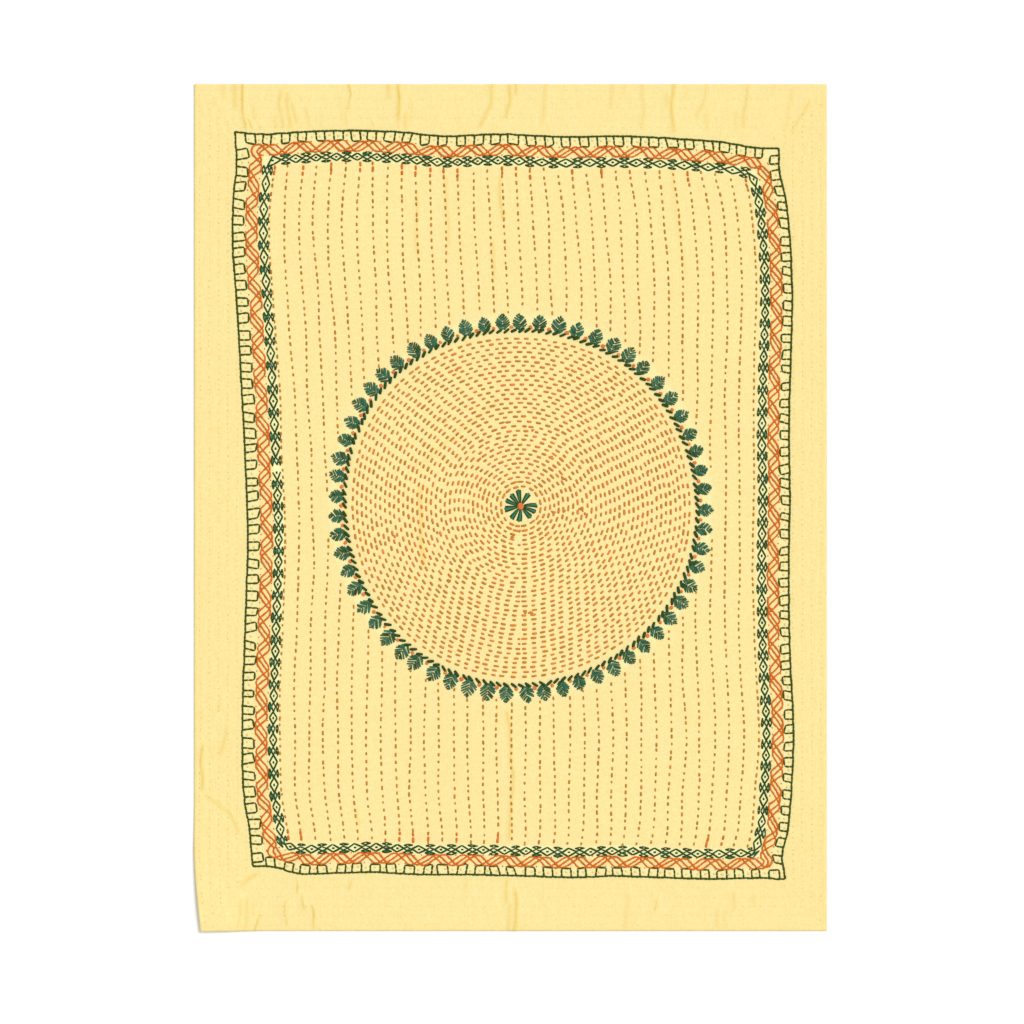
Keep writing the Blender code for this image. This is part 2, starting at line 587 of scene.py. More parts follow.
def on_loop(loop, along, across):
    """Points of a band: the loop's point at the arc length, moved inwards by across half widths."""
    along = np.mod(along, loop.length)
    at, ahead, behind = (
        [np.interp(np.mod(place, loop.length), loop.along, loop.points[:, axis]) for axis in (0, 1)]
        for place in (along, along + SLOPE_REACH, along - SLOPE_REACH)
    )
    forward = [ahead[0] - behind[0], ahead[1] - behind[1]]
    size = np.hypot(*forward)
    offset = across * np.interp(along, loop.along, loop.half)
    x = at[0] - forward[1] / size * offset
    y = at[1] + forward[0] / size * offset
    return np.stack([x, y], axis=-1)


# ---------------------------------------------------------------- the cloth's form


def depth_inside(x, y, band=None):
    """How far a point is inside the border's outer line, or inside a band's middle line.

    It is the least of the distances to the four sides, and negative outside.
    """
    depths = []
    for side in SIDES:
        place, along = (x, y) if side.upright else (y, x)
        depth = side.inward * (place - line_at(side, along))
        depths.append(depth - getattr(side, band) if band else depth)
    return np.minimum.reduce(depths)


def edge_distances(x, y):
    """How far a point of the flat cloth is from its nearer side edge, and from its nearer end."""
    return np.minimum(x - LEFT_EDGE, RIGHT_EDGE - x), np.minimum(y - BOTTOM_EDGE, TOP_EDGE - y)


def depth_from_edge(x, y):
    """How far a point is from the nearest edge of the flat cloth."""
    return np.minimum(*edge_distances(x, y))


def first_row(y):
    """Where the first orange row is at y."""
    return line_at(LEFT, y) + LEFT.row_depth


def last_row(y):
    """Where the last orange row is at y."""
    return line_at(RIGHT, y) - RIGHT.row_depth


def row_place(x, y):
    """The orange rows counted across: 0 at the first and one less than their number at the last."""
    start, end = first_row(y), last_row(y)
    return (x - start) / (end - start) * (ROW_COUNT - 1)


def swaying(sways, angle):
    """The sum of these waves at an angle."""
    return sum(
        wave.cosine * np.cos(wave.times * angle) + wave.sine * np.sin(wave.times * angle)
        for wave in sways
    )


def ring_sway(angle):
    """How far the leaf ring swells outwards at an angle."""
    return swaying(RING_SWAYS, angle)


def disc_distance(x, y):
    """How far a point is from the disc's middle."""
    return np.hypot(x - DISC_X, y - DISC_Y)


def in_disc(out, angle, aside=0.0):
    """Points this far out from the disc's middle at an angle, and this far aside of that line."""
    x = DISC_X + out * np.cos(angle) - aside * np.sin(angle)
    y = DISC_Y + out * np.sin(angle) + aside * np.cos(angle)
    return np.stack([x, y], axis=-1)


def fold_distance(fold, x, y):
    """Signed distance to a fold's two straight stretches, and a share that fades at its ends."""
    nearest = np.full(np.shape(x), np.inf)
    signed, place = np.zeros(np.shape(x)), np.zeros(np.shape(x))
    total = 0.0
    for x_from, y_from, x_to, y_to in (fold[:4], fold[2:6]):
        across, along = x_to - x_from, y_to - y_from
        length = math.hypot(across, along)
        share = ((x - x_from) * across + (y - y_from) * along) / length**2
        share = np.clip(share, 0.0, 1.0)
        away_x, away_y = x - x_from - share * across, y - y_from - share * along
        away = np.hypot(away_x, away_y)
        closer = away < nearest
        signed = np.where(closer, np.sign(away_x * along - away_y * across) * away, signed)
        place = np.where(closer, total + share * length, place)
        nearest = np.minimum(nearest, away)
        total += length
    return signed, eased(place / FOLD_END) * eased((total - place) / FOLD_END)


def swayed(x, y):
    """A point's x, shifted a little and unevenly, so that no crease runs quite straight."""
    return x + FOLD_WANDER * soft_noise(x, y, 0.05, 0.017, 5)


def fold_height(x, y):
    """The highest of the creases, each full on its line and eased to nothing at its half width."""
    moved = swayed(x, y)
    height = np.zeros(np.shape(x))
    for fold in FOLDS:
        signed, fade = fold_distance(fold, moved, y)
        strength = max(fold.line, fold.band) * fade
        ridge = FOLD_HEIGHT * strength * eased(1.0 - np.abs(signed) / FOLD_HALF_WIDTH)
        height = np.maximum(height, ridge)
    return height


def fold_lines(x, y, layer):
    """For the folds of one layer: signed distance to the nearest, and its line and band there."""
    moved = swayed(x, y)
    nearest, closest = np.full(np.shape(x), np.inf), np.ones(np.shape(x))
    line, band = np.zeros(np.shape(x)), np.zeros(np.shape(x))
    for fold in FOLDS[layer :: len(FOLD_LAYERS)]:
        signed, fade = fold_distance(fold, moved, y)
        away = np.abs(signed)
        closer = away < nearest
        fade = fade * eased((BAND_HALF_WIDTH - away) / BAND_FADE)
        closest = np.where(closer, signed, closest)
        line = np.where(closer, fold.line * fade, line)
        band = np.where(closer, fold.band * fade, band)
        nearest = np.minimum(nearest, away)
    return closest, line, band


def corner_height(x, y):
    """The lift of the near left corner, eased to nothing across and along the quilt."""
    across = 1.0 - (x - LEFT_EDGE) / CORNER_REACH_ACROSS
    along = 1.0 - (y - BOTTOM_EDGE) / CORNER_REACH_ALONG
    return CORNER_LIFT * eased(across) * eased(along)


GROUND_DEPTH = 0.030  # from the border's outer line in to the ground
SHARE_EASE = 0.006


def border_share(x, y):
    """1 outside the embroidered border and 0 inside it, eased over a few millimetres."""
    return eased((0.0015 - depth_inside(x, y)) / 0.004)


def field_share(x, y):
    """1 on the ground between border and disc and 0 off it, eased over a few millimetres."""
    inside = depth_inside(x, y) - GROUND_DEPTH
    outside_disc = disc_distance(x, y) - LEAF_BASE_RADIUS - LEAF_LENGTH
    return eased(inside / SHARE_EASE) * eased(outside_disc / SHARE_EASE)


def painted_light_share(x, y):
    """Where the cotton is painted paler, as painted light that offsets the green threads' shade: 1
    between the border's green lines and among the petals and leaves, and 0 elsewhere.
    """
    depth = depth_inside(x, y)
    squares = 0.35 * eased(depth / 0.002) * eased((0.0120 - depth) / 0.003)
    chain = depth_inside(x, y, "diamond_depth")
    diamonds = eased((0.0058 - np.abs(chain)) / 0.002)
    radius = disc_distance(x, y)
    leaves = eased((radius - LEAF_BASE_RADIUS - 0.001) / 0.002)
    leaves = 0.4 * leaves * eased((LEAF_BASE_RADIUS + 0.015 - radius) / 0.003)
    flower = 0.5 * eased((0.0180 - radius) / 0.003)
    return np.maximum(np.maximum(squares, diamonds), np.maximum(leaves, flower))


def near_end_share(x, y):
    """1 near the head and foot edges and 0 near the side edges, eased over the corners."""
    across, along = edge_distances(x, y)
    return eased((across - along) / 0.030 + 0.5)


def puckers(x, y):
    """Short waves that the tight stitching draws up: noise drawn out square to the nearest edge."""
    upright = soft_noise(x, y, 0.0085, 0.040, 11) + 0.6 * soft_noise(x, y, 0.0052, 0.024, 12)
    level = soft_noise(x, y, 0.040, 0.0085, 13) + 0.6 * soft_noise(x, y, 0.024, 0.0052, 14)
    near_end = near_end_share(x, y)
    drawn = upright * near_end + 0.45 * level * (1.0 - near_end)
    fade = eased(depth_from_edge(x, y) / 0.006)
    return drawn * border_share(x, y) * (0.35 + 0.65 * fade)


def field_waves(x, y):
    """Long soft waves between the rows: noise that is short across the rows and long along them."""
    rows = row_place(x, y)
    broad = soft_noise(rows, y, 1.6, 0.110, 21)
    fine = soft_noise(rows, y, 0.8, 0.045, 22)
    return (broad + 0.5 * fine) * field_share(x, y)


def quilting(x, y):
    """The rise of the cloth between rows of stitches: a cosine wave, nothing at each row."""
    rows = row_place(x, y)
    field = 0.5 - 0.5 * np.cos(TWO_PI * 2.0 * rows)
    inset = depth_from_edge(x, y) - FIRST_BORDER_ROW
    border = 0.5 - 0.5 * np.cos(TWO_PI * inset / BORDER_ROW_PITCH)
    uneven = 0.65 + 0.35 * soft_noise(x, y, 0.031, 0.037, 23)
    return uneven * (field * field_share(x, y) + border * border_share(x, y))


def hem_share(x, y):
    """1 on the turned hem along the quilt's edges and 0 inside it."""
    return eased((HEM_WIDTH - depth_from_edge(x, y)) / 0.0015)


def lie_height(x, y):
    """How far the cloth is off the surface: the higher of its folds and its lifted corner."""
    return np.maximum(fold_height(x, y), corner_height(x, y))


def cloth_height(x, y):
    """The top face's height: the thickness, the folds and lifted corner, and the quilting."""
    settings = bpy.context.scene.kantha_cloth
    relief = (
        settings.quilting_height * (quilting(x, y) - 0.5)
        + settings.pucker_height * puckers(x, y)
        + settings.wave_height * field_waves(x, y)
        + settings.hem_height * hem_share(x, y)
    )
    return CLOTH_THICKNESS - settings.quilting_height / 2 + lie_height(x, y) + relief


def drawn_in(x, y):
    """How far the cloth moves in from the left edge, most at the near corner's tip."""
    along = 1.0 - (y - BOTTOM_EDGE) / DRAWN_IN_LENGTH
    across = 1.0 - (x - LEFT_EDGE) / DRAWN_IN_REACH
    return DRAWN_IN * np.maximum(along, 0.0) ** DRAWN_IN_POWER * np.maximum(across, 0.0)


def lay(places, above=0.0):
    """Points on the cloth's top face, or above it, for places on the flat cloth."""
    x, y = places[..., 0], places[..., 1]
    return np.stack([x + drawn_in(x, y), y, cloth_height(x, y) + above], axis=-1)


# ---------------------------------------------------------------- meshes


def put(name, data):
    """Adds an object with this data to the scene."""
    made = bpy.data.objects.new(name, data)
    bpy.context.scene.collection.objects.link(made)
    return made


def add_mesh(name, points, quads, triangles, corner_uvs, material):
    """Makes an object, smooth and with one map, from arrays of points, faces and face corners."""
    corners = np.concatenate([quads.ravel(), triangles.ravel()])
    sizes = np.concatenate([np.full(len(quads), 4), np.full(len(triangles), 3)])
    mesh = bpy.data.meshes.new(name)
    mesh.vertices.add(len(points))
    mesh.vertices.foreach_set("co", points.astype(np.float32).ravel())
    mesh.loops.add(len(corners))
    mesh.loops.foreach_set("vertex_index", corners.astype(np.int32))
    mesh.polygons.add(len(sizes))
    mesh.polygons.foreach_set("loop_start", (np.cumsum(sizes) - sizes).astype(np.int32))
    mesh.update(calc_edges=True)
    layer = mesh.uv_layers.new(name=UV_MAP)
    layer.uv.foreach_set("vector", corner_uvs.astype(np.float32).ravel())
    mesh.materials.append(material)
    mesh.shade_smooth()
    piece = put(name, mesh)
    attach(piece, "root")
    return piece


class Threads(NamedTuple):
    """Threads of one kind: paths on the flat cloth, shaped (threads, steps, 2), and their form."""

    paths: np.ndarray
    width: float
    rise: float
    height: float = 0.40  # of a ring, from its middle up, as a share of the width


STITCH_STEPS = np.array([0.0, 0.07, 0.33, 0.67, 0.93, 1.0])
DOT_STEPS = np.array([0.0, 0.12, 0.50, 0.88, 1.0])


def straight(starts, ends, steps=STITCH_STEPS):
    """Paths of straight stitches between points."""
    share = steps[:, None]
    return starts[:, None] * (1.0 - share) + ends[:, None] * share


def tube_faces(steps):
    """A tube's quads between its rings, and the triangles that close both its ends.

    Each face corner is a step along the path, where the tips are the first and the last, and a
    place round the tube, counted in sides.
    """
    ring, side = np.divmod(np.arange((steps - 3) * THREAD_SIDES), THREAD_SIDES)
    quads = [(ring + 1, side), (ring + 1, side + 1), (ring + 2, side + 1), (ring + 2, side)]
    side = np.arange(THREAD_SIDES)
    tip, first, last = np.zeros_like(side), np.ones_like(side), np.full_like(side, steps - 2)
    start = [(tip, side + 0.5), (first, side + 1), (first, side)]
    end = [(last + 1, side + 0.5), (last, side), (last, side + 1)]
    triangles = np.concatenate([np.moveaxis(np.array(cap), -1, 0) for cap in (start, end)])
    return np.moveaxis(np.array(quads), -1, 0), triangles


def tube_points(threads, along, draw):
    """A tube's points: its rings' one after another, and then its two tips.

    A ring's point is the path's point, plus the sideways direction times the half width times
    the cosine of its angle, plus up times the half height times the sine. The tips lie in the
    cloth, and the rings between rise out of it.
    """
    paths, width = threads.paths, threads.width
    count, steps = along.shape
    forward = np.gradient(paths, axis=1)
    forward /= np.linalg.norm(forward, axis=-1, keepdims=True)
    sideways = np.stack([-forward[..., 1], forward[..., 0], np.zeros((count, steps))], axis=-1)

    end_distance = np.minimum(along, along[:, -1:] - along)[:, 1:-1]
    fullness = np.clip(end_distance / (0.9 * width), 0.0, 1.0)
    plump = 0.62 + 0.38 * np.sqrt(fullness)
    plump = plump * draw.uniform(0.88, 1.12, (count, 1))
    half_width = 0.5 * width * plump
    half_height = threads.height * width * plump

    angle = TWO_PI * (np.arange(THREAD_SIDES) + 0.25 * THREAD_SIDES) / THREAD_SIDES
    laid = lay(paths)
    laid[:, 1:-1, 2] += threads.rise * width * eased(0.25 + fullness) - 0.12 * width
    laid[:, [0, -1], 2] -= TIP_DEPTH * width
    rings = (
        laid[:, 1:-1, None]
        + (sideways[:, 1:-1] * half_width[..., None])[:, :, None] * np.cos(angle)[:, None]
        + half_height[:, :, None, None] * np.sin(angle)[:, None] * np.array([0.0, 0.0, 1.0])
    )
    return np.concatenate([rings.reshape(count, -1, 3), laid[:, [0, -1]]], axis=1)


def thread_arrays(threads, seed):
    """A closed tube along each path, drawn in to a point at both ends.

    Returns the points, the quads and triangles, and their corners' places on the map: across
    it by the share of the path, and up it round the tube, on a strip chosen for each thread.
    """
    count, steps = threads.paths.shape[:2]
    draw = np.random.default_rng(seed)
    spans = np.hypot(*np.moveaxis(np.diff(threads.paths, axis=1), -1, 0))
    along = np.concatenate([np.zeros((count, 1)), np.cumsum(spans, axis=1)], axis=1)
    points = tube_points(threads, along, draw)
    first = (np.arange(count) * points.shape[1])[:, None, None]
    tone = draw.integers(0, TONES, count)[:, None, None]
    faces, maps = [], []
    for corners in tube_faces(steps):
        step, place = corners[..., 0].astype(int), corners[..., 1]
        on_ring = (step - 1) * THREAD_SIDES + place.astype(int) % THREAD_SIDES
        tips = (steps - 2) * THREAD_SIDES
        number = np.where(step == 0, tips, np.where(step == steps - 1, tips + 1, on_ring))
        faces.append((first + number).reshape(-1, number.shape[1]))
        u = (along / along[:, -1:])[:, step]
        v = tone + STRIP_MARGIN + (1.0 - 2.0 * STRIP_MARGIN) * (place / THREAD_SIDES)
        maps.append(np.stack([u, v / TONES], -1).reshape(-1, 2))
    return points.reshape(-1, 3), faces, maps


def add_threads(name, bundles, material, seed):
    """Makes one piece of all the threads in these bundles."""
    made = [thread_arrays(threads, seed + number) for number, threads in enumerate(bundles)]
    points, faces, maps = zip(*made)
    offsets = np.cumsum([0] + [len(own) for own in points])
    quads, triangles = (
        np.concatenate([own[kind] + offset for own, offset in zip(faces, offsets)])
        for kind in (0, 1)
    )
    uvs = np.concatenate([own[kind] for kind in (0, 1) for own in maps])
    piece = add_mesh(name, np.concatenate(points), quads, triangles, uvs, material)


def stitched(pair, *form, steps=STITCH_STEPS):
    """Straight stitches between starts and ends, with a width, a rise and perhaps a height."""
    return Threads(straight(*pair, steps), *form)


def dotted(pair, *form):
    """Short stitches, with fewer steps than the longer ones."""
    return stitched(pair, *form, steps=DOT_STEPS)


def unsteady(points, size, seed):
    """Points moved by a random hand's unsteadiness, even in all directions."""
    draw = np.random.default_rng(seed)
    return points + draw.normal(0.0, size, points.shape)


def running(line, pitch, length, seed, start=0.0, spread=0.08, lengths=(0.74, 1.26)):
    """Running stitches along a line: one every pitch, of about this length, none quite the same.

    The spread is how far they stray along the line, as a share of the pitch, and the lengths are
    the shortest and longest, as shares of the length. Returns the starts and ends of the
    stitches, read from the line by arc length.
    """
    along = arc_lengths(line)
    draw = np.random.default_rng(seed)
    places = np.arange(start, along[-1] - length / 2, pitch)
    if not len(places):
        return np.zeros((0, 2)), np.zeros((0, 2))
    middles = places + length / 2 + draw.normal(0.0, spread * pitch, len(places))
    halves = 0.5 * length * draw.uniform(*lengths, len(places))
    ends = []
    for at in (middles - halves, middles + halves):
        ends.append(np.stack([np.interp(at, along, line[:, axis]) for axis in (0, 1)], -1))
    return unsteady(ends[0], 0.00020, seed + 1), unsteady(ends[1], 0.00020, seed + 2)


# ---------------------------------------------------------------- materials

PLY_DEPTH = 0.00014
WEAVE_DEPTH = 0.00003


def node(tree, kind, **values):
    """Adds a node and sets its plain values."""
    made = tree.nodes.new(kind)
    for name, value in values.items():
        setattr(made, name, value)
    return made


def feed(tree, socket, value):
    """Links a socket into an input, or sets the input to a number."""
    if isinstance(value, bpy.types.NodeSocket):
        tree.links.new(value, socket)
    else:
        socket.default_value = value


def calc(tree, operation, *values):
    """A Math node's result."""
    made = node(tree, "ShaderNodeMath", operation=operation)
    for socket, value in zip(made.inputs, values):
        feed(tree, socket, value)
    return made.outputs[0]


def joined(tree, operation, values):
    """Several values joined one after another by Math nodes: their sum, product or greatest."""
    total = values[0]
    for value in values[1:]:
        total = calc(tree, operation, total, value)
    return total


def product(tree, *values):
    """The product of several values."""
    return joined(tree, "MULTIPLY", values)


def held(tree, value):
    """A value held between 0 and 1."""
    made = node(tree, "ShaderNodeClamp")
    feed(tree, made.inputs[0], value)
    return made.outputs[0]


def x_and_y(tree, place):
    """A place's first two parts."""
    split = node(tree, "ShaderNodeSeparateXYZ")
    tree.links.new(place, split.inputs[0])
    return split.outputs["X"], split.outputs["Y"]


def blended(tree, share, low, high):
    """A Mix node's colour between two colours."""
    made = node(tree, "ShaderNodeMix", data_type="RGBA")
    feed(tree, made.inputs["Factor"], share)
    feed(tree, made.inputs[6], low)
    feed(tree, made.inputs[7], high)
    return made.outputs[2]


def ranged(tree, value, from_low, from_high, to_low=0.0, to_high=1.0, smooth=False):
    """A Map Range node's result."""
    kind = "SMOOTHSTEP" if smooth else "LINEAR"
    made = node(tree, "ShaderNodeMapRange", interpolation_type=kind)
    for socket, number in zip(made.inputs, (value, from_low, from_high, to_low, to_high)):
        feed(tree, socket, number)
    return made.outputs[0]


def new_group(name, inputs, outputs):
    """A shader node group whose inputs are numbers with defaults, or vectors where they have none.

    Returns its tree, the sockets that it is given and the number sockets that it puts out.
    """
    tree = bpy.data.node_groups.new(name, "ShaderNodeTree")
    for label, default in inputs.items():
        kind = "NodeSocketVector" if default is None else "NodeSocketFloat"
        socket = tree.interface.new_socket(label, in_out="INPUT", socket_type=kind)
        if default is not None:
            socket.default_value = default
    for label in outputs:
        tree.interface.new_socket(label, in_out="OUTPUT", socket_type="NodeSocketFloat")
    return tree, node(tree, "NodeGroupInput").outputs, node(tree, "NodeGroupOutput").inputs


def thread_twist_group():
    """The plies of a twisted thread: a wave that winds round it as it goes along, and its shade.

    The map's strips are the threads' shades. Within a strip, up is round the thread from its
    top and back: the crown is 1 on top and 0 underneath.
    """
    inputs = {"Map": None, "Turns": 6.0, "Plies": 3.0}
    tree, given, result = new_group("Thread twist", inputs, ("Height", "Shade", "Crown"))
    along, up = x_and_y(tree, given["Map"])
    strips = product(tree, up, float(TONES))
    around = calc(tree, "FRACT", strips)
    wind = product(tree, along, given["Turns"])
    turned = product(tree, around, given["Plies"])
    wave = calc(tree, "SINE", product(tree, calc(tree, "ADD", wind, turned), TWO_PI))
    height = calc(tree, "MULTIPLY_ADD", wave, 0.5, 0.5)
    tree.links.new(calc(tree, "SQRT", height), result["Height"])
    below = calc(tree, "ABSOLUTE", calc(tree, "SUBTRACT", around, 0.5))
    tree.links.new(product(tree, below, 2.0), result["Crown"])
    noise = node(tree, "ShaderNodeTexWhiteNoise", noise_dimensions="1D")
    tree.links.new(calc(tree, "FLOOR", strips), noise.inputs["W"])
    tree.links.new(noise.outputs["Value"], result["Shade"])
    return tree


def plain_weave_group():
    """Plain weave: warp and weft cross over and under, as two rows of humps half a thread apart."""
    tree, given, result = new_group("Plain weave", {"Place": None, "Pitch": 0.0005}, ("Height",))
    turn = calc(tree, "DIVIDE", math.pi, given["Pitch"])
    across, along = (
        calc(tree, "SINE", product(tree, part, turn)) for part in x_and_y(tree, given["Place"])
    )
    over = calc(tree, "GREATER_THAN", product(tree, across, along), 0.0)
    under = calc(tree, "SUBTRACT", 1.0, over)
    warp = product(tree, calc(tree, "ABSOLUTE", across), over)
    weft = product(tree, calc(tree, "ABSOLUTE", along), under)
    tree.links.new(calc(tree, "ADD", warp, weft), result["Height"])
    return tree


def grouped(tree, group, **values):
    """Places a node group and feeds its inputs by name."""
    made = node(tree, "ShaderNodeGroup", node_tree=group)
    for name, value in values.items():
        feed(tree, made.inputs[name], value)
    return made.outputs


def new_material(name, roughness, sheen):
    """A material with its shader's even values set. Returns material, tree and shader."""
    material = bpy.data.materials.new(name)
    material.use_nodes = True
    shader = material.node_tree.nodes["Principled BSDF"]
    shader.inputs["Roughness"].default_value = roughness
    shader.inputs["Sheen Weight"].default_value = sheen
    shader.inputs["Sheen Roughness"].default_value = 0.45
    shader.inputs["Specular IOR Level"].default_value = 0.10
    return material, material.node_tree, shader


def shaded(tree, colour, factor):
    """A colour times a number that changes over the surface."""
    made = node(tree, "ShaderNodeVectorMath", operation="SCALE")
    feed(tree, made.inputs[0], colour)
    feed(tree, made.inputs["Scale"], factor)
    return made.outputs[0]


def noised(tree, place, scale, detail, stretch=None):
    """A Noise node's value at a place, drawn out by a stretch in X, Y and Z if there is one."""
    if stretch is not None:
        mapping = node(tree, "ShaderNodeMapping", vector_type="POINT")
        mapping.inputs["Scale"].default_value = stretch
        tree.links.new(place, mapping.inputs["Vector"])
        place = mapping.outputs[0]
    made = node(tree, "ShaderNodeTexNoise")
    tree.links.new(place, made.inputs["Vector"])
    made.inputs["Scale"].default_value = scale
    made.inputs["Detail"].default_value = detail
    return made.outputs["Fac"]


def read(tree, name):
    """A number that each point of the mesh holds."""
    return node(tree, "ShaderNodeAttribute", attribute_name=name).outputs["Fac"]


def bump(tree, height, before=None):
    """A Bump node for a height in metres, after an earlier one if there is one."""
    made = node(tree, "ShaderNodeBump")
    made.inputs["Distance"].default_value = 1.0
    feed(tree, made.inputs["Height"], height)
    if before is not None:
        tree.links.new(before, made.inputs["Normal"])
    return made.outputs[0]


def thread_material(name, colours, turns, edge, plied):
    """Soft stranded cotton: twisted plies with painted shade between them, each stitch's dye a
    little other.

    The edge is how much painted shade darkens the thread low on its sides, where less light falls,
    than on its top. Plied is how deep its plies show, in bump and in painted shade, from 0 to 1.
    """
    material, tree, shader = new_material(name, 0.80, 0.0)
    surface_map = node(tree, "ShaderNodeUVMap", uv_map=UV_MAP)
    place = node(tree, "ShaderNodeTexCoord").outputs["Object"]
    twist = grouped(tree, effect("Thread twist"), Map=surface_map.outputs[0], Turns=turns)
    patch = ranged(tree, noised(tree, place, 170.0, 2.0), 0.32, 0.68, -0.30, 0.30)
    dyed = blended(tree, held(tree, calc(tree, "ADD", twist["Shade"], patch)), *colours)
    # Painted shade: darker between the plies, and low on the thread's sides where less light falls.
    plies = calc(tree, "MULTIPLY_ADD", twist["Height"], 0.42 * plied, 1.0 - 0.30 * plied)
    crown = ranged(tree, twist["Crown"], 0.40, 0.90, 1.0 - edge, 1.0, smooth=True)
    tree.links.new(shaded(tree, dyed, product(tree, plies, crown)), shader.inputs["Base Color"])
    height = product(tree, twist["Height"], PLY_DEPTH * plied)
    tree.links.new(bump(tree, height), shader.inputs["Normal"])
    return material


def crease_masks(tree, place):
    """Fine broken lines along the creases' middles, and soft bands round them, from 0 to 1: where
    the creases' painted shade goes, and where the lines raise fine ridges.
    """
    lines, bands = [], []
    for layer in FOLD_LAYERS:
        away = calc(tree, "ABSOLUTE", read(tree, f"fold_side_{layer}"))
        line = ranged(tree, away, LINE_HALF_WIDTH, 0.0002, smooth=True)
        band = ranged(tree, away, BAND_HALF_WIDTH, 0.0004, smooth=True)
        lines.append(product(tree, line, read(tree, f"fold_line_{layer}")))
        bands.append(product(tree, band, read(tree, f"fold_band_{layer}")))
    broken = ranged(tree, noised(tree, place, 95.0, 3.0), 0.36, 0.60, 0.45, 1.0)
    return product(tree, joined(tree, "MAXIMUM", lines), broken), joined(tree, "MAXIMUM", bands)


def ring_waves(tree, place):
    """The disc's quilting: a cosine of the distance from its middle, low along each ring."""
    x, y = x_and_y(tree, place)
    from_middle = (calc(tree, "SUBTRACT", x, DISC_X), calc(tree, "SUBTRACT", y, DISC_Y))
    squares = [product(tree, side, side) for side in from_middle]
    radius = calc(tree, "SQRT", calc(tree, "ADD", *squares))
    rings = calc(tree, "DIVIDE", calc(tree, "SUBTRACT", radius, FIRST_RING), RING_PITCH)
    wave = calc(tree, "COSINE", product(tree, rings, TWO_PI))
    outer = ranged(tree, radius, ROPE_RADIUS - 0.004, ROPE_RADIUS - 0.010, smooth=True)
    inner = ranged(tree, radius, 0.016, 0.022, smooth=True)
    return product(tree, wave, outer, inner)


def row_waves(tree):
    """The ground's quilting: a cosine, four waves from one orange row to the next."""
    rows = product(tree, read(tree, "rows"), 4.0 * TWO_PI)
    return product(tree, calc(tree, "COSINE", rows), read(tree, "ground"))


def puckered(tree, place):
    """Fine streaks outside the border, drawn out along the warp, strongest at head and foot."""
    streaks = noised(tree, place, 1.0, 3.0, (430.0, 56.0, 1.0))
    share = ranged(tree, read(tree, "near_end"), 0.0, 1.0, 1.0, 0.86)
    return product(tree, streaks, share, read(tree, "border"))


def cotton_relief(tree, settings, place, woven, line, streaks):
    """The cotton's normal: its weave on the fine waves, crinkles, streaks and crease lines."""
    heights = (
        (ring_waves(tree, place), -0.5 * settings.ring_height),
        (row_waves(tree), -0.5 * settings.ripple_height),
        (noised(tree, place, 150.0, 4.0), settings.crinkle_height),
        (streaks, settings.streak_height),
        (line, settings.crease_height),
    )
    relief = joined(tree, "ADD", [product(tree, *height) for height in heights])
    return bump(tree, product(tree, woven, WEAVE_DEPTH), bump(tree, relief))


def cotton_colour(tree, settings, place, woven, creases, streaks):
    """A fine mottle of two yellows with warm blotches and a warmer hem, paler round the green
    stitches as painted light, and warmer in hollows, streaks and the weave's dips and ochre in
    creases as painted shade.
    """
    line, band = creases
    drift = ranged(tree, noised(tree, place, 8.0, 3.0), 0.35, 0.65)
    mottle = ranged(tree, noised(tree, place, 360.0, 3.0), 0.38, 0.62)
    paleness = calc(tree, "MULTIPLY_ADD", mottle, 0.75, product(tree, drift, 0.25))
    warm = ranged(tree, noised(tree, place, 300.0, 4.0), 0.45, 0.70)
    blotch = ranged(tree, noised(tree, place, 30.0, 4.0), 0.48, 0.74, smooth=True)
    # Warm tone at random, in blotches and on the hem; and painted shade: warmer down in the
    # quilting's hollows, along the pucker streaks and in the weave's dips.
    warmth_and_shade = (
        product(tree, warm, 0.50),
        product(tree, blotch, 0.12),
        product(tree, read(tree, "hollow_shade"), 0.10),
        product(tree, read(tree, "hem"), 0.20),
        product(tree, ranged(tree, streaks, 0.44, 0.66), 0.46),
        ranged(tree, woven, 0.0, 1.0, 0.10, 0.0),
    )
    # Painted shade: the cotton is drawn darker ochre along the creases and in soft bands round
    # them.
    crease_shading = (product(tree, line, 0.80), product(tree, band, 0.46))
    colour = [*settings.colour, 1.0]
    for share, other in (
        (paleness, settings.pale_colour),
        (read(tree, "painted_light"), settings.painted_light_ground),
        (held(tree, joined(tree, "ADD", warmth_and_shade)), settings.warm_and_shade_colour),
        (held(tree, joined(tree, "ADD", crease_shading)), settings.crease_shade_colour),
    ):
        colour = blended(tree, share, colour, [*other, 1.0])
    return colour


def cotton_material(settings):
    """Pale yellow cotton: a plain weave, soft quilting, and creases painted darker ochre as painted
    shade.
    """
    material, tree, shader = new_material("yellow_cotton", 0.92, 0.04)
    place = node(tree, "ShaderNodeTexCoord").outputs["Object"]
    woven = grouped(tree, effect("Plain weave"), Place=place, Pitch=0.00042)["Height"]
    creases = crease_masks(tree, place)
    streaks = puckered(tree, place)
    relief = cotton_relief(tree, settings, place, woven, creases[0], streaks)
    colour = cotton_colour(tree, settings, place, woven, creases, streaks)
    tree.links.new(relief, shader.inputs["Normal"])
    tree.links.new(colour, shader.inputs["Base Color"])
    return material


def effect(name):
    """A node group that several materials share, made once."""
    makers = {"Thread twist": thread_twist_group, "Plain weave": plain_weave_group}
    return bpy.data.node_groups.get(name) or makers[name]()


def thread(kind, turns, edge, plied=1.0):
    """The material of one kind of thread, for stitches of this many turns, made once."""
    label = f"{kind}_thread_{turns:g}"
    colours = bpy.context.scene.kantha_thread
    pair = [[*getattr(colours, name), 1.0] for name in (kind, f"{kind}_second")]
    return bpy.data.materials.get(label) or thread_material(label, pair, turns, edge, plied)


# ---------------------------------------------------------------- the cloth's mesh


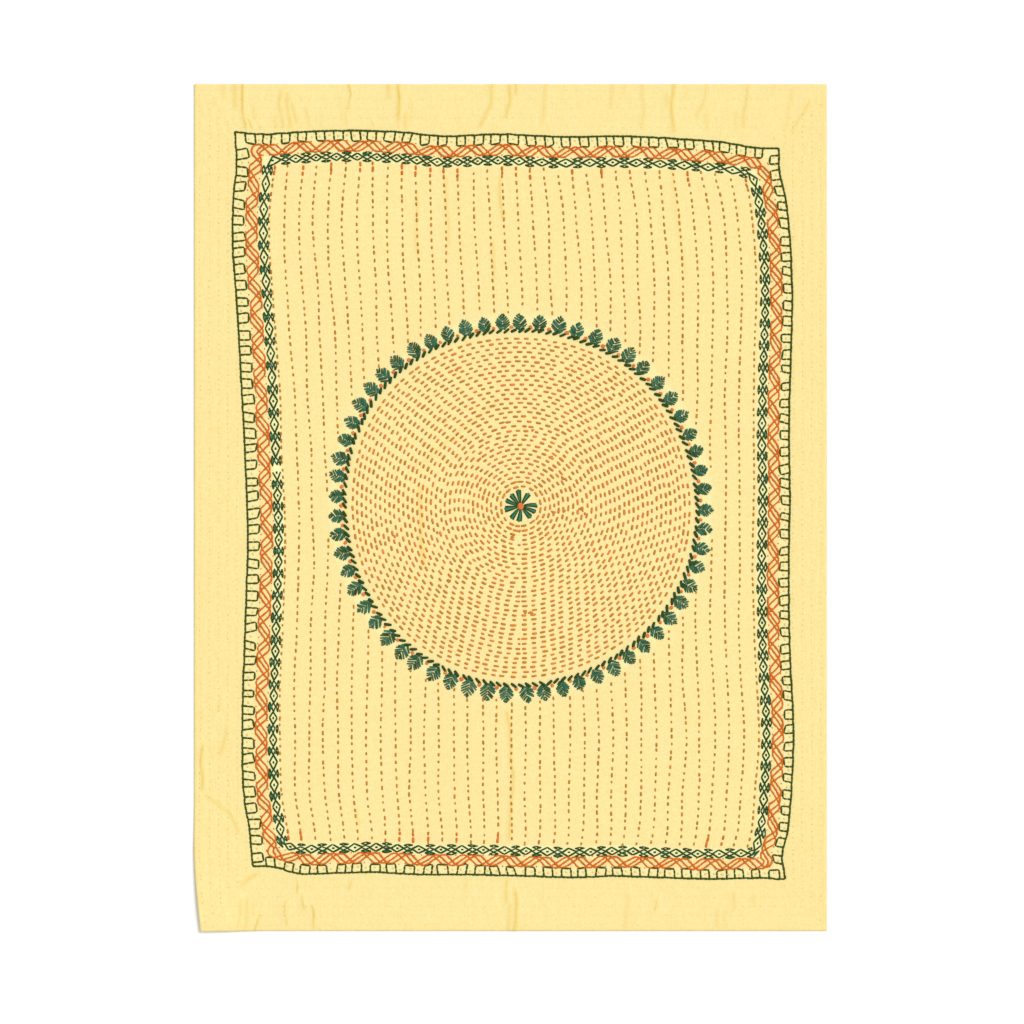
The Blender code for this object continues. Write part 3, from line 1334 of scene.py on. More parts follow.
def cloth_grid():
    """The flat places of the cloth's grid, shaped (columns, rows, 2).

    Near the edges the lines are even and straight. Between them the columns are spread from
    the straight ones to the first orange row, then evenly over the rows, so that each row of
    stitches runs along a column.
    """
    edge = EDGE_CELL * np.arange(EDGE_CELLS + 1)
    middle = np.linspace(BOTTOM_EDGE + edge[-1], TOP_EDGE - edge[-1], LENGTH_CELLS + 1)
    y = np.concatenate([BOTTOM_EDGE + edge[:-1], middle, (TOP_EDGE - edge[::-1])[1:]])
    start, end = first_row(y), last_row(y)
    band = np.linspace(0.0, 1.0, BAND_CELLS + 1)[1:, None]
    rows = np.linspace(0.0, 1.0, (ROW_COUNT - 1) * CELLS_PER_ROW + 1)[1:, None]
    inner_left, inner_right = LEFT_EDGE + edge[-1], RIGHT_EDGE - edge[-1]
    even = np.ones_like(y)[None]
    x = np.concatenate(
        [
            (LEFT_EDGE + edge)[:, None] * even,
            inner_left + (start - inner_left) * band,
            start + (end - start) * rows,
            end + (inner_right - end) * band,
            (RIGHT_EDGE - edge[::-1])[1:, None] * even,
        ]
    )
    return np.stack([x, np.broadcast_to(y, x.shape)], axis=-1)


def rim_of(columns, rows):
    """The grid's boundary, as column and row numbers going round anticlockwise from above."""
    bottom = [(column, 0) for column in range(columns - 1)]
    right = [(columns - 1, row) for row in range(rows - 1)]
    top = [(column, rows - 1) for column in range(columns - 1, 0, -1)]
    left = [(0, row) for row in range(rows - 1, 0, -1)]
    return np.array(bottom + right + top + left).T


def grid_quads(columns, rows, offset):
    """The faces of a grid of points, anticlockwise from above."""
    i, j = np.meshgrid(np.arange(columns - 1), np.arange(rows - 1), indexing="ij")
    first = (i * rows + j).ravel()
    return offset + np.stack([first, first + rows, first + rows + 1, first + 1], axis=-1)


def hem_points(top, low, outward):
    """The rounded hem's rings of points, from the front's rim down to the back's.

    They are the rim's points moved outwards by the hem's radius times the cosine of an angle,
    and from the middle of the cloth by its half thickness times the sine.
    """
    rings = []
    for ring in range(1, HEM_RINGS + 1):
        angle = math.pi * (0.5 - ring / (HEM_RINGS + 1))
        points = top.copy()
        points[:, :2] += outward * HEM_RADIUS * math.cos(angle)
        points[:, 2] = (top[:, 2] + low) / 2 + (top[:, 2] - low) / 2 * math.sin(angle)
        rings.append(points)
    return rings


def hem_faces(lines, back_line):
    """The hem's quads from line to line of its points, and the faces that join it to the back.

    The last line has three points to each one of the back's rim: a fan of faces joins them.
    """
    quads = [
        np.stack([upper, lower, np.roll(lower, -1), np.roll(upper, -1)], axis=-1)
        for upper, lower in zip(lines, lines[1:])
    ]
    first, second, third = lines[-1].reshape(-1, BACK_STEP).T
    fans = [(first, back_line, second), (second, back_line, third)]
    quads.append(
        np.stack([third, back_line, np.roll(back_line, -1), np.roll(first, -1)], axis=-1)
    )
    return quads, np.concatenate([np.stack(fan, axis=-1) for fan in fans])


def cloth_arrays():
    """The whole cloth: the front's grid, the back's coarser one, and the rounded hem between.

    Returns the points, quads and triangles, and the numbers of the front's and the hem's last
    points.
    """
    flat = cloth_grid() * (1.0 - HEM_RADIUS / np.array([RIGHT_EDGE, TOP_EDGE]))
    columns, rows = flat.shape[:2]
    front = lay(flat)
    low = lie_height(flat[..., 0], flat[..., 1]) + BACK_GAP
    back = front[::BACK_STEP, ::BACK_STEP].copy()
    back[..., 2] = low[::BACK_STEP, ::BACK_STEP]
    back_columns, back_rows = back.shape[:2]

    rim = rim_of(columns, rows)
    ends = np.array([[columns - 1], [rows - 1]])
    outward = ((rim == ends) * 1.0 - (rim == 0)).T
    hem = hem_points(front[tuple(rim)], low[tuple(rim)], outward)
    points = np.concatenate([front.reshape(-1, 3), *hem, back.reshape(-1, 3)])

    around = rim.shape[1]
    front_count, back_start = columns * rows, columns * rows + HEM_RINGS * around
    lines = [rim[0] * rows + rim[1]]
    lines += [front_count + ring * around + np.arange(around) for ring in range(HEM_RINGS)]
    back_rim = rim_of(back_columns, back_rows)
    quads, fans = hem_faces(lines, back_start + back_rim[0] * back_rows + back_rim[1])
    quads.insert(0, grid_quads(columns, rows, 0))
    quads.insert(-1, grid_quads(back_columns, back_rows, back_start)[:, ::-1])
    return points, np.concatenate(quads), fans, front_count, back_start


def cloth_map(points, quads, triangles, back_start):
    """The cloth's map: the front flat on the left, the back smaller beside it, by face."""
    share = (points[:, :2] - [LEFT_EDGE, BOTTOM_EDGE]) / (TOP_EDGE - BOTTOM_EDGE)
    front = share * 0.98 + 0.01
    back = share * 0.25 + [0.745, 0.01]
    corners = []
    for faces in (quads, triangles):
        behind = (faces >= back_start).any(axis=1)
        corners.append(np.where(behind[:, None, None], back[faces], front[faces]).reshape(-1, 2))
    return np.concatenate(corners)


def add_cloth(settings):
    """Makes the cloth and the numbers that its material reads."""
    points, quads, triangles, front_count, back_start = cloth_arrays()
    uvs = cloth_map(points, quads, triangles, back_start)
    cloth = add_mesh("quilt_cloth", points, quads, triangles, uvs, cotton_material(settings))
    x, y = points[:, 0], points[:, 1]
    front = np.arange(len(points)) < front_count
    ground, border = field_share(x, y) * front, border_share(x, y) * front
    # Painted shade: how far a point lies down in the quilting's hollows, where the cotton is drawn
    # warmer.
    hollow_shade = (ground + border) * front - quilting(x, y) * front
    numbers = {
        "hollow_shade": np.clip(hollow_shade, 0.0, 1.0),
        "ground": ground,
        "border": border,
        "near_end": near_end_share(x, y),
        "hem": hem_share(x, y) * front,
        # Where the cotton is painted paler round the green stitches, as painted light.
        "painted_light": painted_light_share(x, y) * front,
        "rows": row_place(x, y),
    }
    for layer in FOLD_LAYERS:
        for part, values in zip(("side", "line", "band"), fold_lines(x, y, layer)):
            numbers[f"fold_{part}_{layer}"] = values
    for name, values in numbers.items():
        attribute = cloth.data.attributes.new(name, "FLOAT", "POINT")
        attribute.data.foreach_set("value", values.astype(np.float32))
    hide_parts("quilt")


# ---------------------------------------------------------------- quilting stitches


ROW_HALF_LENGTH = 0.400
ROW_POINTS = 400
ROW_WANDER = 0.0013
EDGE_POINTS = 120
EDGE_WANDER = 0.0007
BORDER_CLEARANCE = 0.0030


def row_line(place):
    """The line of one row up the quilt, at its place among the rows, as its hand sewed it."""
    y = np.linspace(-ROW_HALF_LENGTH, ROW_HALF_LENGTH, ROW_POINTS)
    x = first_row(y) + (last_row(y) - first_row(y)) * place / (ROW_COUNT - 1)
    x = x + ROW_WANDER * soft_noise(y, np.full_like(y, place), 0.062, 1.0, 31)
    low = line_at(BOTTOM, x) + BOTTOM.row_depth
    high = line_at(TOP, x) - TOP.row_depth
    return np.stack([x, y], axis=-1)[(y > low) & (y < high)]


def clear_of_disc(starts, ends):
    """Only the stitches that lie outside the leaves' tips."""
    middle = (starts + ends) / 2
    clear = disc_distance(middle[:, 0], middle[:, 1]) > ROWS_STOP_RADIUS
    return starts[clear], ends[clear]


def gather(pairs):
    """Joins lists of stitches into two arrays of starts and ends."""
    return np.concatenate([pair[0] for pair in pairs]), np.concatenate([pair[1] for pair in pairs])


def field_stitches(places, pitch, length, seed, spread=0.08):
    """Running stitches up the ground, in rows at these places among the orange ones."""
    draw = np.random.default_rng(seed)
    pairs = []
    for place in places:
        own_pitch = pitch * draw.uniform(0.95, 1.05)
        start = draw.uniform(0.0, 0.6 * pitch)
        own_seed = int(draw.integers(1 << 30))
        pairs.append(running(row_line(place), own_pitch, length, own_seed, start, spread))
    return clear_of_disc(*gather(pairs))


FASTENED = 8  # points of a row's line, two millimetres apart, where its thread is fastened
FASTENED_STARTS, FASTENED_ENDS = 0.22, 0.50  # the shares of rows that are, at foot and head


def fastening_stitches(places, pitch, length, seed):
    """Stitches over the row's own at some rows' ends, where a thread was fastened."""
    draw = np.random.default_rng(seed)
    pairs = []
    for place in places:
        line = row_line(place)
        stretches = ((line[:FASTENED], FASTENED_STARTS), (line[-FASTENED:], FASTENED_ENDS))
        for stretch, sewn in stretches:
            own_seed, start = int(draw.integers(1 << 30)), draw.uniform(0.0, 0.6 * pitch)
            if draw.uniform() < sewn:
                pairs.append(running(stretch, pitch, length, own_seed, start))
    return clear_of_disc(*gather(pairs))


RING_POINTS = 361
RING_WANDER = 0.0004


def ring_line(radius):
    """A ring of the disc from straight below its middle, round and back, a little uneven.

    It sways with the leaf ring, the less the nearer it is to the middle.
    """
    angle = np.linspace(-math.pi / 2, 1.5 * math.pi, RING_POINTS)
    sway = ring_sway(angle) * (radius / LEAF_BASE_RADIUS) ** 2
    uneven = RING_WANDER * soft_noise(angle, np.full_like(angle, radius), 0.5, 0.008, 41)
    return in_disc(radius + sway + uneven, angle)


def ring_stitches(inner_pitch, outer_pitch, length, seed):
    """Running stitches in the disc's rings, each ring started straight below the middle."""
    draw = np.random.default_rng(seed)
    pairs = []
    for ring in range(RING_COUNT):
        line = ring_line(FIRST_RING + ring * RING_PITCH)
        start = draw.normal(0.0015, 0.0004)
        outer = min(ring / 12.0, 1.0)
        pitch = inner_pitch + (outer_pitch - inner_pitch) * outer
        own_seed = int(draw.integers(1 << 30))
        own_length = length * (1.12 - 0.10 * outer)
        pairs.append(running(line, pitch, own_length, own_seed, start, 0.07, (0.80, 1.24)))
    return gather(pairs)


def edge_stitches(end_pitch, side_pitch, length, seed):
    """Running stitches round the quilt outside the border, in rows that follow its edges.

    Those along the head and foot and those along the sides are returned apart.
    """
    draw = np.random.default_rng(seed)
    pairs = ([], [])
    share = np.linspace(0.0, 1.0, EDGE_POINTS)[:, None]
    for row in range(BORDER_ROWS):
        inset = FIRST_BORDER_ROW + row * BORDER_ROW_PITCH
        left, right = LEFT_EDGE + inset, RIGHT_EDGE - inset
        bottom, top = BOTTOM_EDGE + inset, TOP_EDGE - inset
        corners = np.array([[left, bottom], [right, bottom], [right, top], [left, top]])
        for begin, finish in zip(corners, np.roll(corners, -1, axis=0)):
            upright = int(begin[1] != finish[1])
            line = begin * (1 - share) + finish * share
            own_row = np.full(EDGE_POINTS, row)
            wander = EDGE_WANDER * soft_noise(line.sum(axis=1), own_row, 0.05, 1.0, 51)
            line[:, 1 - upright] += wander
            pitch = side_pitch if upright else end_pitch
            start = draw.uniform(0.0, pitch)
            own_seed = int(draw.integers(1 << 30))
            starts, ends = running(line, pitch, length, own_seed, start, spread=0.16)
            middle = (starts + ends) / 2
            outside = depth_inside(middle[:, 0], middle[:, 1]) < -BORDER_CLEARANCE
            pairs[upright].append((starts[outside], ends[outside]))
    return gather(pairs[0]), gather(pairs[1])


def knots_at(places, sizes, seed):
    """Knots: at each place, three short fat stitches across each other."""
    draw = np.random.default_rng(seed)
    starts, ends = [], []
    for turn in range(3):
        angle = draw.uniform(0.0, math.pi, len(places)) + turn * math.pi / 3
        reach = 0.5 * sizes[:, None] * np.stack([np.cos(angle), np.sin(angle)], axis=-1)
        shift = draw.normal(0.0, 0.12, places.shape) * sizes[:, None]
        starts.append(places + shift - reach)
        ends.append(places + shift + reach)
    return np.concatenate(starts), np.concatenate(ends)


def satin_rounds(places, sizes, lanes, seed):
    """Round spots of satin stitch: chords of a circle side by side, each spot turned its way."""
    draw = np.random.default_rng(seed)
    angle = draw.uniform(0.0, math.pi, len(places))[:, None]
    offset = (np.arange(lanes) + 0.5) / lanes * 2.0 - 1.0
    half = np.sqrt(1.0 - (0.90 * offset) ** 2)
    half = half * draw.uniform(0.90, 1.08, (len(places), lanes))
    radius = 0.5 * sizes[:, None]
    forward = np.stack([np.cos(angle), np.sin(angle)], axis=-1)
    aside = np.stack([-np.sin(angle), np.cos(angle)], axis=-1)
    middle = places[:, None] + aside * (0.85 * offset * radius)[..., None]
    reach = forward * (half * radius)[..., None]
    return (middle - reach).reshape(-1, 2), (middle + reach).reshape(-1, 2)


# ---------------------------------------------------------------- border embroidery


def chained(points, stitch, seed):
    """Backstitches end to end along lines of corners: each stretch is cut into even stitches.

    points is shaped (lines, corners, 2). Every stretch of a line gets the same count.
    """
    starts, ends = [], []
    for step in range(points.shape[1] - 1):
        begin, finish = points[:, step], points[:, step + 1]
        length = np.hypot(*(finish - begin).T).mean()
        count = max(int(round(length / stitch)), 1)
        for number in range(count):
            starts.append(begin + (finish - begin) * (number - 0.04) / count)
            ends.append(begin + (finish - begin) * (number + 1.04) / count)
    return (
        unsteady(np.concatenate(starts), 0.00012, seed),
        unsteady(np.concatenate(ends), 0.00012, seed + 1),
    )


def outline_stitches(stitch, seed):
    """The border's outer line, in backstitch from corner to corner."""
    pairs = []
    for index, side in enumerate(SIDES):
        low, high = side.line[0].along, side.line[-1].along
        along = np.linspace(low, high, int(round((high - low) / stitch)) + 1)
        line = unsteady(on_side(side, along, 0.0), 0.00022, seed + index)
        overlap = 0.06 * (line[1:] - line[:-1])
        pairs.append((line[:-1] - overlap, line[1:] + overlap))
    return gather(pairs)


BLOCK_CHAMFER = 0.0012
BLOCK_HALF = 0.262  # of the pitch
SPOT_WIDTH = 0.0034
SPOT_HALF_LENGTH = 0.0014


def block_lines(seed):
    """Open squares that hang inwards from the outer line: down, along and up again.

    Their inner corners are cut off a little.
    """
    draw = np.random.default_rng(seed)
    lines = []
    for side in SIDES:
        pitch = abs(side.last_block - side.first_block) / (side.blocks - 1)
        middle = np.linspace(side.first_block, side.last_block, side.blocks)
        middle = middle + draw.normal(0.0, 0.0006, side.blocks)
        half = BLOCK_HALF * pitch + draw.normal(0.0, 0.0004, side.blocks)
        lean = draw.normal(0.0, 0.0011, side.blocks)
        depth = side.block_depth + draw.normal(0.0, 0.0007, (2, side.blocks))
        start, end = middle - half + lean, middle + half + lean
        corners = [
            on_side(side, middle - half, 0.0),
            on_side(side, start, depth[0] - BLOCK_CHAMFER),
            on_side(side, start + BLOCK_CHAMFER, depth[0]),
            on_side(side, end - BLOCK_CHAMFER, depth[1]),
            on_side(side, end, depth[1] - BLOCK_CHAMFER),
            on_side(side, middle + half, 0.0),
        ]
        lines.append(np.stack(corners, axis=1))
    return np.concatenate(lines)


def block_dots(seed):
    """Short stitches of the quilting inside each square and between each two."""
    draw = np.random.default_rng(seed)
    starts, ends = [], []
    for side in SIDES:
        count = 2 * side.blocks - 1
        along = np.linspace(side.first_block, side.last_block, count)
        along = along + draw.normal(0.0, 0.0007, count)
        depth = 0.50 * side.block_depth + draw.normal(0.0, 0.0006, count)
        starts.append(on_side(side, along, depth - SPOT_HALF_LENGTH))
        ends.append(on_side(side, along, depth + SPOT_HALF_LENGTH))
    return np.concatenate(starts), np.concatenate(ends)


PLAIT_WAVES = 70
PLAIT_THREADS = 3
PLAIT_SHIFT = 0.205  # of a wave, from one thread to the next
PLAIT_STITCHES = 8  # in a wave
PLAIT_ROUNDING = 0.035  # of a wave
GAP_DOT_SHIFT = 0.0036  # along the plait, from the middle of a gap to each of its two stitches
GAP_DOT_HALF_LENGTH = 0.0009
# The turns of a wave where its thread has reached a side of the band, and which side.
PLAIT_TURNS = (0.0, 0.43, 0.57, 0.87, 1.0)
PLAIT_PLACES = (-1.0, 1.0, 1.0, -1.0, -1.0)


def plait_place(turns):
    """A plait thread's place across its band: slowly in, along, quickly out and along again.

    The mean of three places a little apart rounds its bends.
    """
    weights = ((-PLAIT_ROUNDING, 0.25), (0.0, 0.5), (PLAIT_ROUNDING, 0.25))
    return sum(
        weight * np.interp(np.mod(turns + shift, 1.0), PLAIT_TURNS, PLAIT_PLACES)
        for shift, weight in weights
    )


def plait_paths(loop, thread_number, seed):
    """One thread of the plait as stitches end to end, each a little over the next."""
    stitches = PLAIT_WAVES * PLAIT_STITCHES
    share = np.arange(stitches)[:, None] + 1.10 * STITCH_STEPS - 0.05
    turns = share / PLAIT_STITCHES
    across = plait_place(turns - PLAIT_SHIFT * thread_number)
    along = turns * loop.length / PLAIT_WAVES
    same = np.full_like(along, thread_number)
    across = across * (0.97 + 0.10 * soft_noise(along, same, 0.019, 1.0, seed))
    along = along + 0.0009 * soft_noise(along, same, 0.011, 1.0, seed + 1)
    return unsteady(on_loop(loop, along, across), 0.00010, seed + 2)


DIAMOND_HALVES = (0.0041, 0.0041, 0.0041, 0.0042)  # of the band's width, side by side
NODE_HALF_LENGTH = 0.0046
# The small diamonds of a crossing: place across, half length, and half width across.
NODE_DIAMONDS = ((0.0, 0.0050, 0.50), (-0.98, 0.0054, 0.36), (1.02, 0.0050, 0.26))
# The filling stitches of a crossing: place across, half length, and how many crossings have one.
NODE_FILLS = (
    (-1.02, 0.0034, 0.78),
    (-0.60, 0.0032, 0.46),
    (-0.18, 0.0026, 0.26),
    (0.66, 0.0020, 0.34),
)
FILLS_ON_LEFT, FILLS_ELSEWHERE = 2.00, 0.66  # times that many
DIAMOND_OVERLAP = 0.0004  # of a big diamond's tips and the crossings
DOT_SHIFT = 0.0016  # along the chain, of the two short stitches in a big diamond
SIDE_TIP_SHIFT = 0.0005  # back along the chain, of a diamond's tips across the band


def diamond_middles(loop):
    """Where each diamond's middle is along the loop: read between the paces by its number."""
    numbers, places = [], []
    for pace in PACES:
        point = on_side(pace.side, pace.along, pace.side.diamond_depth)
        nearest = np.argmin(np.hypot(*(loop.points[:-1] - point).T))
        numbers.append(pace.number)
        places.append(loop.along[nearest])
    numbers.append(DIAMOND_COUNT)
    places.append(places[0] + loop.length)
    return np.interp(np.arange(DIAMOND_COUNT + 1), numbers, places)


def node_middles(loop):
    """Where the chain's crossings are along the loop: halfway from each diamond to the next."""
    middles = diamond_middles(loop)
    return (middles[1:] + middles[:-1]) / 2


def node_fills(loop, seed):
    """Stitches that fill the crossings, most on the plait's side, and more up the left side."""
    draw = np.random.default_rng(seed)
    at = node_middles(loop)
    on_left = np.arange(DIAMOND_COUNT) >= FIRST_LEFT_DIAMOND
    busy = np.where(on_left, FILLS_ON_LEFT, FILLS_ELSEWHERE)
    starts, ends = [], []
    for across, half_length, sewn in NODE_FILLS:
        chosen = at[draw.uniform(size=len(at)) < sewn * busy]
        half = half_length * draw.uniform(0.8, 1.15, len(chosen))
        middle = chosen + draw.normal(0.0, 0.0006, len(chosen))
        place = across + draw.normal(0.0, 0.08, len(chosen))
        slant = draw.normal(0.0, 0.08, len(chosen))
        starts.append(on_loop(loop, middle - half, place - slant))
        ends.append(on_loop(loop, middle + half, place + slant))
    return np.concatenate(starts), np.concatenate(ends)


def diamond_strokes(loop, seed):
    """The diamond chain: big diamonds, and between them three small ones side by side.

    Each is four straight stitches between corners given along and across the band, and one big
    one has only its middle two. A big diamond has two short stitches end to end in its middle.
    Big ones, small ones and those stitches are returned apart.
    """
    draw = np.random.default_rng(seed)
    middles = diamond_middles(loop)
    middles = middles[:-1] + draw.normal(0.0, 0.0004, DIAMOND_COUNT)
    following = np.append(middles[1:], middles[0] + loop.length)
    nodes = (middles + following) / 2
    before = np.append(nodes[-1] - loop.length, nodes[:-1])
    middles = (nodes + before) / 2
    big_half = (nodes - before) / 2 - NODE_HALF_LENGTH + DIAMOND_OVERLAP
    closed = np.arange(DIAMOND_COUNT) != OPEN_DIAMOND
    pairs = []
    for at, across, half_length, half_width in (
        (middles, 0.0, big_half, 1.0),
        *((nodes, *diamond) for diamond in NODE_DIAMONDS),
    ):
        starts, ends = [], []
        size = draw.uniform(0.92, 1.08, len(at))
        slant = draw.normal(0.0, 0.06, len(at))
        tips = (
            (at - half_length * size, across + slant),
            (at - SIDE_TIP_SHIFT, across + half_width * size),
            (at + half_length * size, across - slant),
            (at - SIDE_TIP_SHIFT, across - half_width * size),
        )
        points = [on_loop(loop, *tip) for tip in tips]
        for number, (begin, finish) in enumerate(zip(points, points[1:] + points[:1])):
            sewn = closed if not pairs and number in (0, 3) else slice(None)
            reach = 0.05 * (finish - begin)
            starts.append((begin - reach)[sewn])
            ends.append((finish + reach)[sewn])
        starts = unsteady(np.concatenate(starts), 0.00018, seed + len(pairs))
        pairs.append((starts, np.concatenate(ends)))
    dots = [on_loop(loop, middles + shift, 0.0) for shift in (-DOT_SHIFT, DOT_SHIFT)]
    return pairs[0], gather(pairs[1:]), dots


def gap_dots(loop, across, seed):
    """Short stitches along a side of the plait, two where its threads are at the other side."""
    wave = loop.length / PLAIT_WAVES
    far_side = PLAIT_TURNS[1:3] if across < 0.0 else PLAIT_TURNS[3:5]
    turns = sum(far_side) / 2 + PLAIT_SHIFT
    at = (np.arange(PLAIT_WAVES) + turns) * wave
    at = np.concatenate([at - GAP_DOT_SHIFT, at + GAP_DOT_SHIFT])
    starts = on_loop(loop, at - GAP_DOT_HALF_LENGTH, across)
    ends = on_loop(loop, at + GAP_DOT_HALF_LENGTH, across)
    shift = unsteady(np.zeros_like(starts), 0.0005, seed)
    return starts + shift, ends + shift


# ---------------------------------------------------------------- leaf ring and flower


def placed_round(strokes, radius, angles, tilts, sizes):
    """Strokes drawn for one leaf, put at each angle of the ring.

    strokes is shaped (strokes, 2, 2): out from the leaf's base, and sideways. A leaf is sized,
    tilted, moved out by the radius and the ring's sway, and turned to its angle.
    """
    strokes = strokes[None] * sizes[:, None, None, None]
    tilt = tilts[:, None, None]
    base = (radius + ring_sway(angles))[:, None, None]
    out = strokes[..., 0] * np.cos(tilt) - strokes[..., 1] * np.sin(tilt) + base
    aside = strokes[..., 0] * np.sin(tilt) + strokes[..., 1] * np.cos(tilt)
    points = in_disc(out, angles[:, None, None], aside).reshape(-1, 2, 2)
    return points[:, 0], points[:, 1]


def leaf_strokes():
    """One leaf in fishbone stitch: from each edge slanting in and down to the middle line."""
    return np.array(
        [
            [[stitch.out, side * stitch.aside], [stitch.foot_out, side * stitch.foot_aside]]
            for stitch in LEAF_STITCHES
            for side in (-1.0, 1.0)
        ]
    )


def leaf_angles(seed):
    """The leaves' angles round the disc, evenly apart but for slow sways and the hand."""
    draw = np.random.default_rng(seed)
    even = np.arange(LEAF_COUNT) * TWO_PI / LEAF_COUNT
    hand = draw.normal(0.0, 0.0035, LEAF_COUNT)
    return FIRST_LEAF_ANGLE + even + swaying(LEAF_SWAYS, even) + hand


ROPE_SLANT = 0.0024  # out and in of the rope's radius
ROPE_LEAN = 0.46  # of a step, ahead and back


def rope_strokes(seed):
    """Short slanting stitches side by side round the disc, like the twist of a rope."""
    draw = np.random.default_rng(seed)
    step = TWO_PI / ROPE_STROKES
    angle = np.arange(ROPE_STROKES) * step + draw.normal(0.0, 0.08 * step, ROPE_STROKES)
    other_way = (angle > ROPE_TURNED[0]) & (angle < ROPE_TURNED[1])
    slant = np.where(other_way, -ROPE_SLANT, ROPE_SLANT)
    ends = []
    for shift, side in ((-ROPE_LEAN, 1.0), (ROPE_LEAN, -1.0)):
        turned = angle + shift * step
        stray = draw.normal(0.0, 0.0004, ROPE_STROKES)
        out = ROPE_RADIUS + ring_sway(turned) + side * slant + stray
        ends.append(in_disc(out, turned))
    return ends


PETAL_EDGES = np.array([-1.0, 1.0])
PETAL_MIDDLE = np.array([-0.36, 0.0, 0.36])
PETAL_EDGE_WIDTH = 0.0009  # the two edge stitches lie this much inside a petal's width
PETAL_TIP, PETAL_SHOULDER = 0.0012, 0.0011  # past its reach, and back again towards its edges


def petal_paths(lanes, seed):
    """These lanes of the flower's petals: stitches side by side that spread and bend to the end."""
    draw = np.random.default_rng(seed)
    share = STITCH_STEPS
    paths = []
    for petal in PETALS:
        for lane in lanes:
            spread = PETAL_START_WIDTH + (petal.width - PETAL_START_WIDTH) * share**0.8
            aside = 0.5 * lane * (spread - PETAL_EDGE_WIDTH) + petal.bend * share**2
            reach = petal.reach + PETAL_TIP - PETAL_SHOULDER * abs(lane) + draw.normal(0.0, 0.0003)
            out = PETAL_START + (reach - PETAL_START) * share
            paths.append(in_disc(out, math.radians(petal.degrees), aside))
    return np.array(paths)


# ---------------------------------------------------------------- settings


def dye(label, description, default):
    """A colour setting."""
    return FloatVectorProperty(
        name=label, description=description, subtype="COLOR", size=3, default=default
    )


def size(label, description, default):
    """A length setting."""
    return FloatProperty(name=label, description=description, unit="LENGTH", default=default)


def strength(label, description, default):
    """A light's setting."""
    return FloatProperty(name=label, description=description, min=0.0, default=default)


class KanthaCloth(bpy.types.PropertyGroup):
    """The cloth's colours and relief."""

    colour: dye("Cotton", "The cotton's own colour", (0.890, 0.700, 0.324))
    pale_colour: dye("Pale cotton", "The other yellow of its mottle", (0.862, 0.780, 0.348))
    # Painted light: the cotton is drawn paler between the green stitches, to offset the shade of
    # the dark threads.
    painted_light_ground: dye("Cotton by green", "Between green stitches", (0.885, 0.890, 0.462))
    # Partly painted shade: besides the cotton's own warm tone, this colour is painted into the
    # quilting's hollows, the pucker streaks and the weave's dips.
    warm_and_shade_colour: dye("Warm cotton", "What gathers in hollows and streaks", (0.872, 0.672, 0.256))
    # Painted shade: the darker ochre drawn along the creases and round them.
    crease_shade_colour: dye("Creases", "What gathers in creases", (0.800, 0.550, 0.125))
    quilting_height: size("Quilting", "How far the cloth rises between rows", 0.00016)
    pucker_height: size("Puckers", "Height of the short waves near the edges", 0.00022)
    wave_height: size("Waves", "Height of the long waves between the rows", 0.00018)
    ring_height: size("Rings", "How far the cloth rises between the disc's rings", 0.00007)
    ripple_height: size("Ripples", "Height of the fine waves on the ground", 0.00004)
    crinkle_height: size("Crinkles", "Height of the fine crinkles all over", 0.00030)
    streak_height: size("Streaks", "Height of the fine streaks near the edges", 0.00040)
    crease_height: size("Creases", "Height of the creases' fine ridges", 0.00028)
    hem_height: size("Hem", "How much thicker the turned hem is", 0.00010)


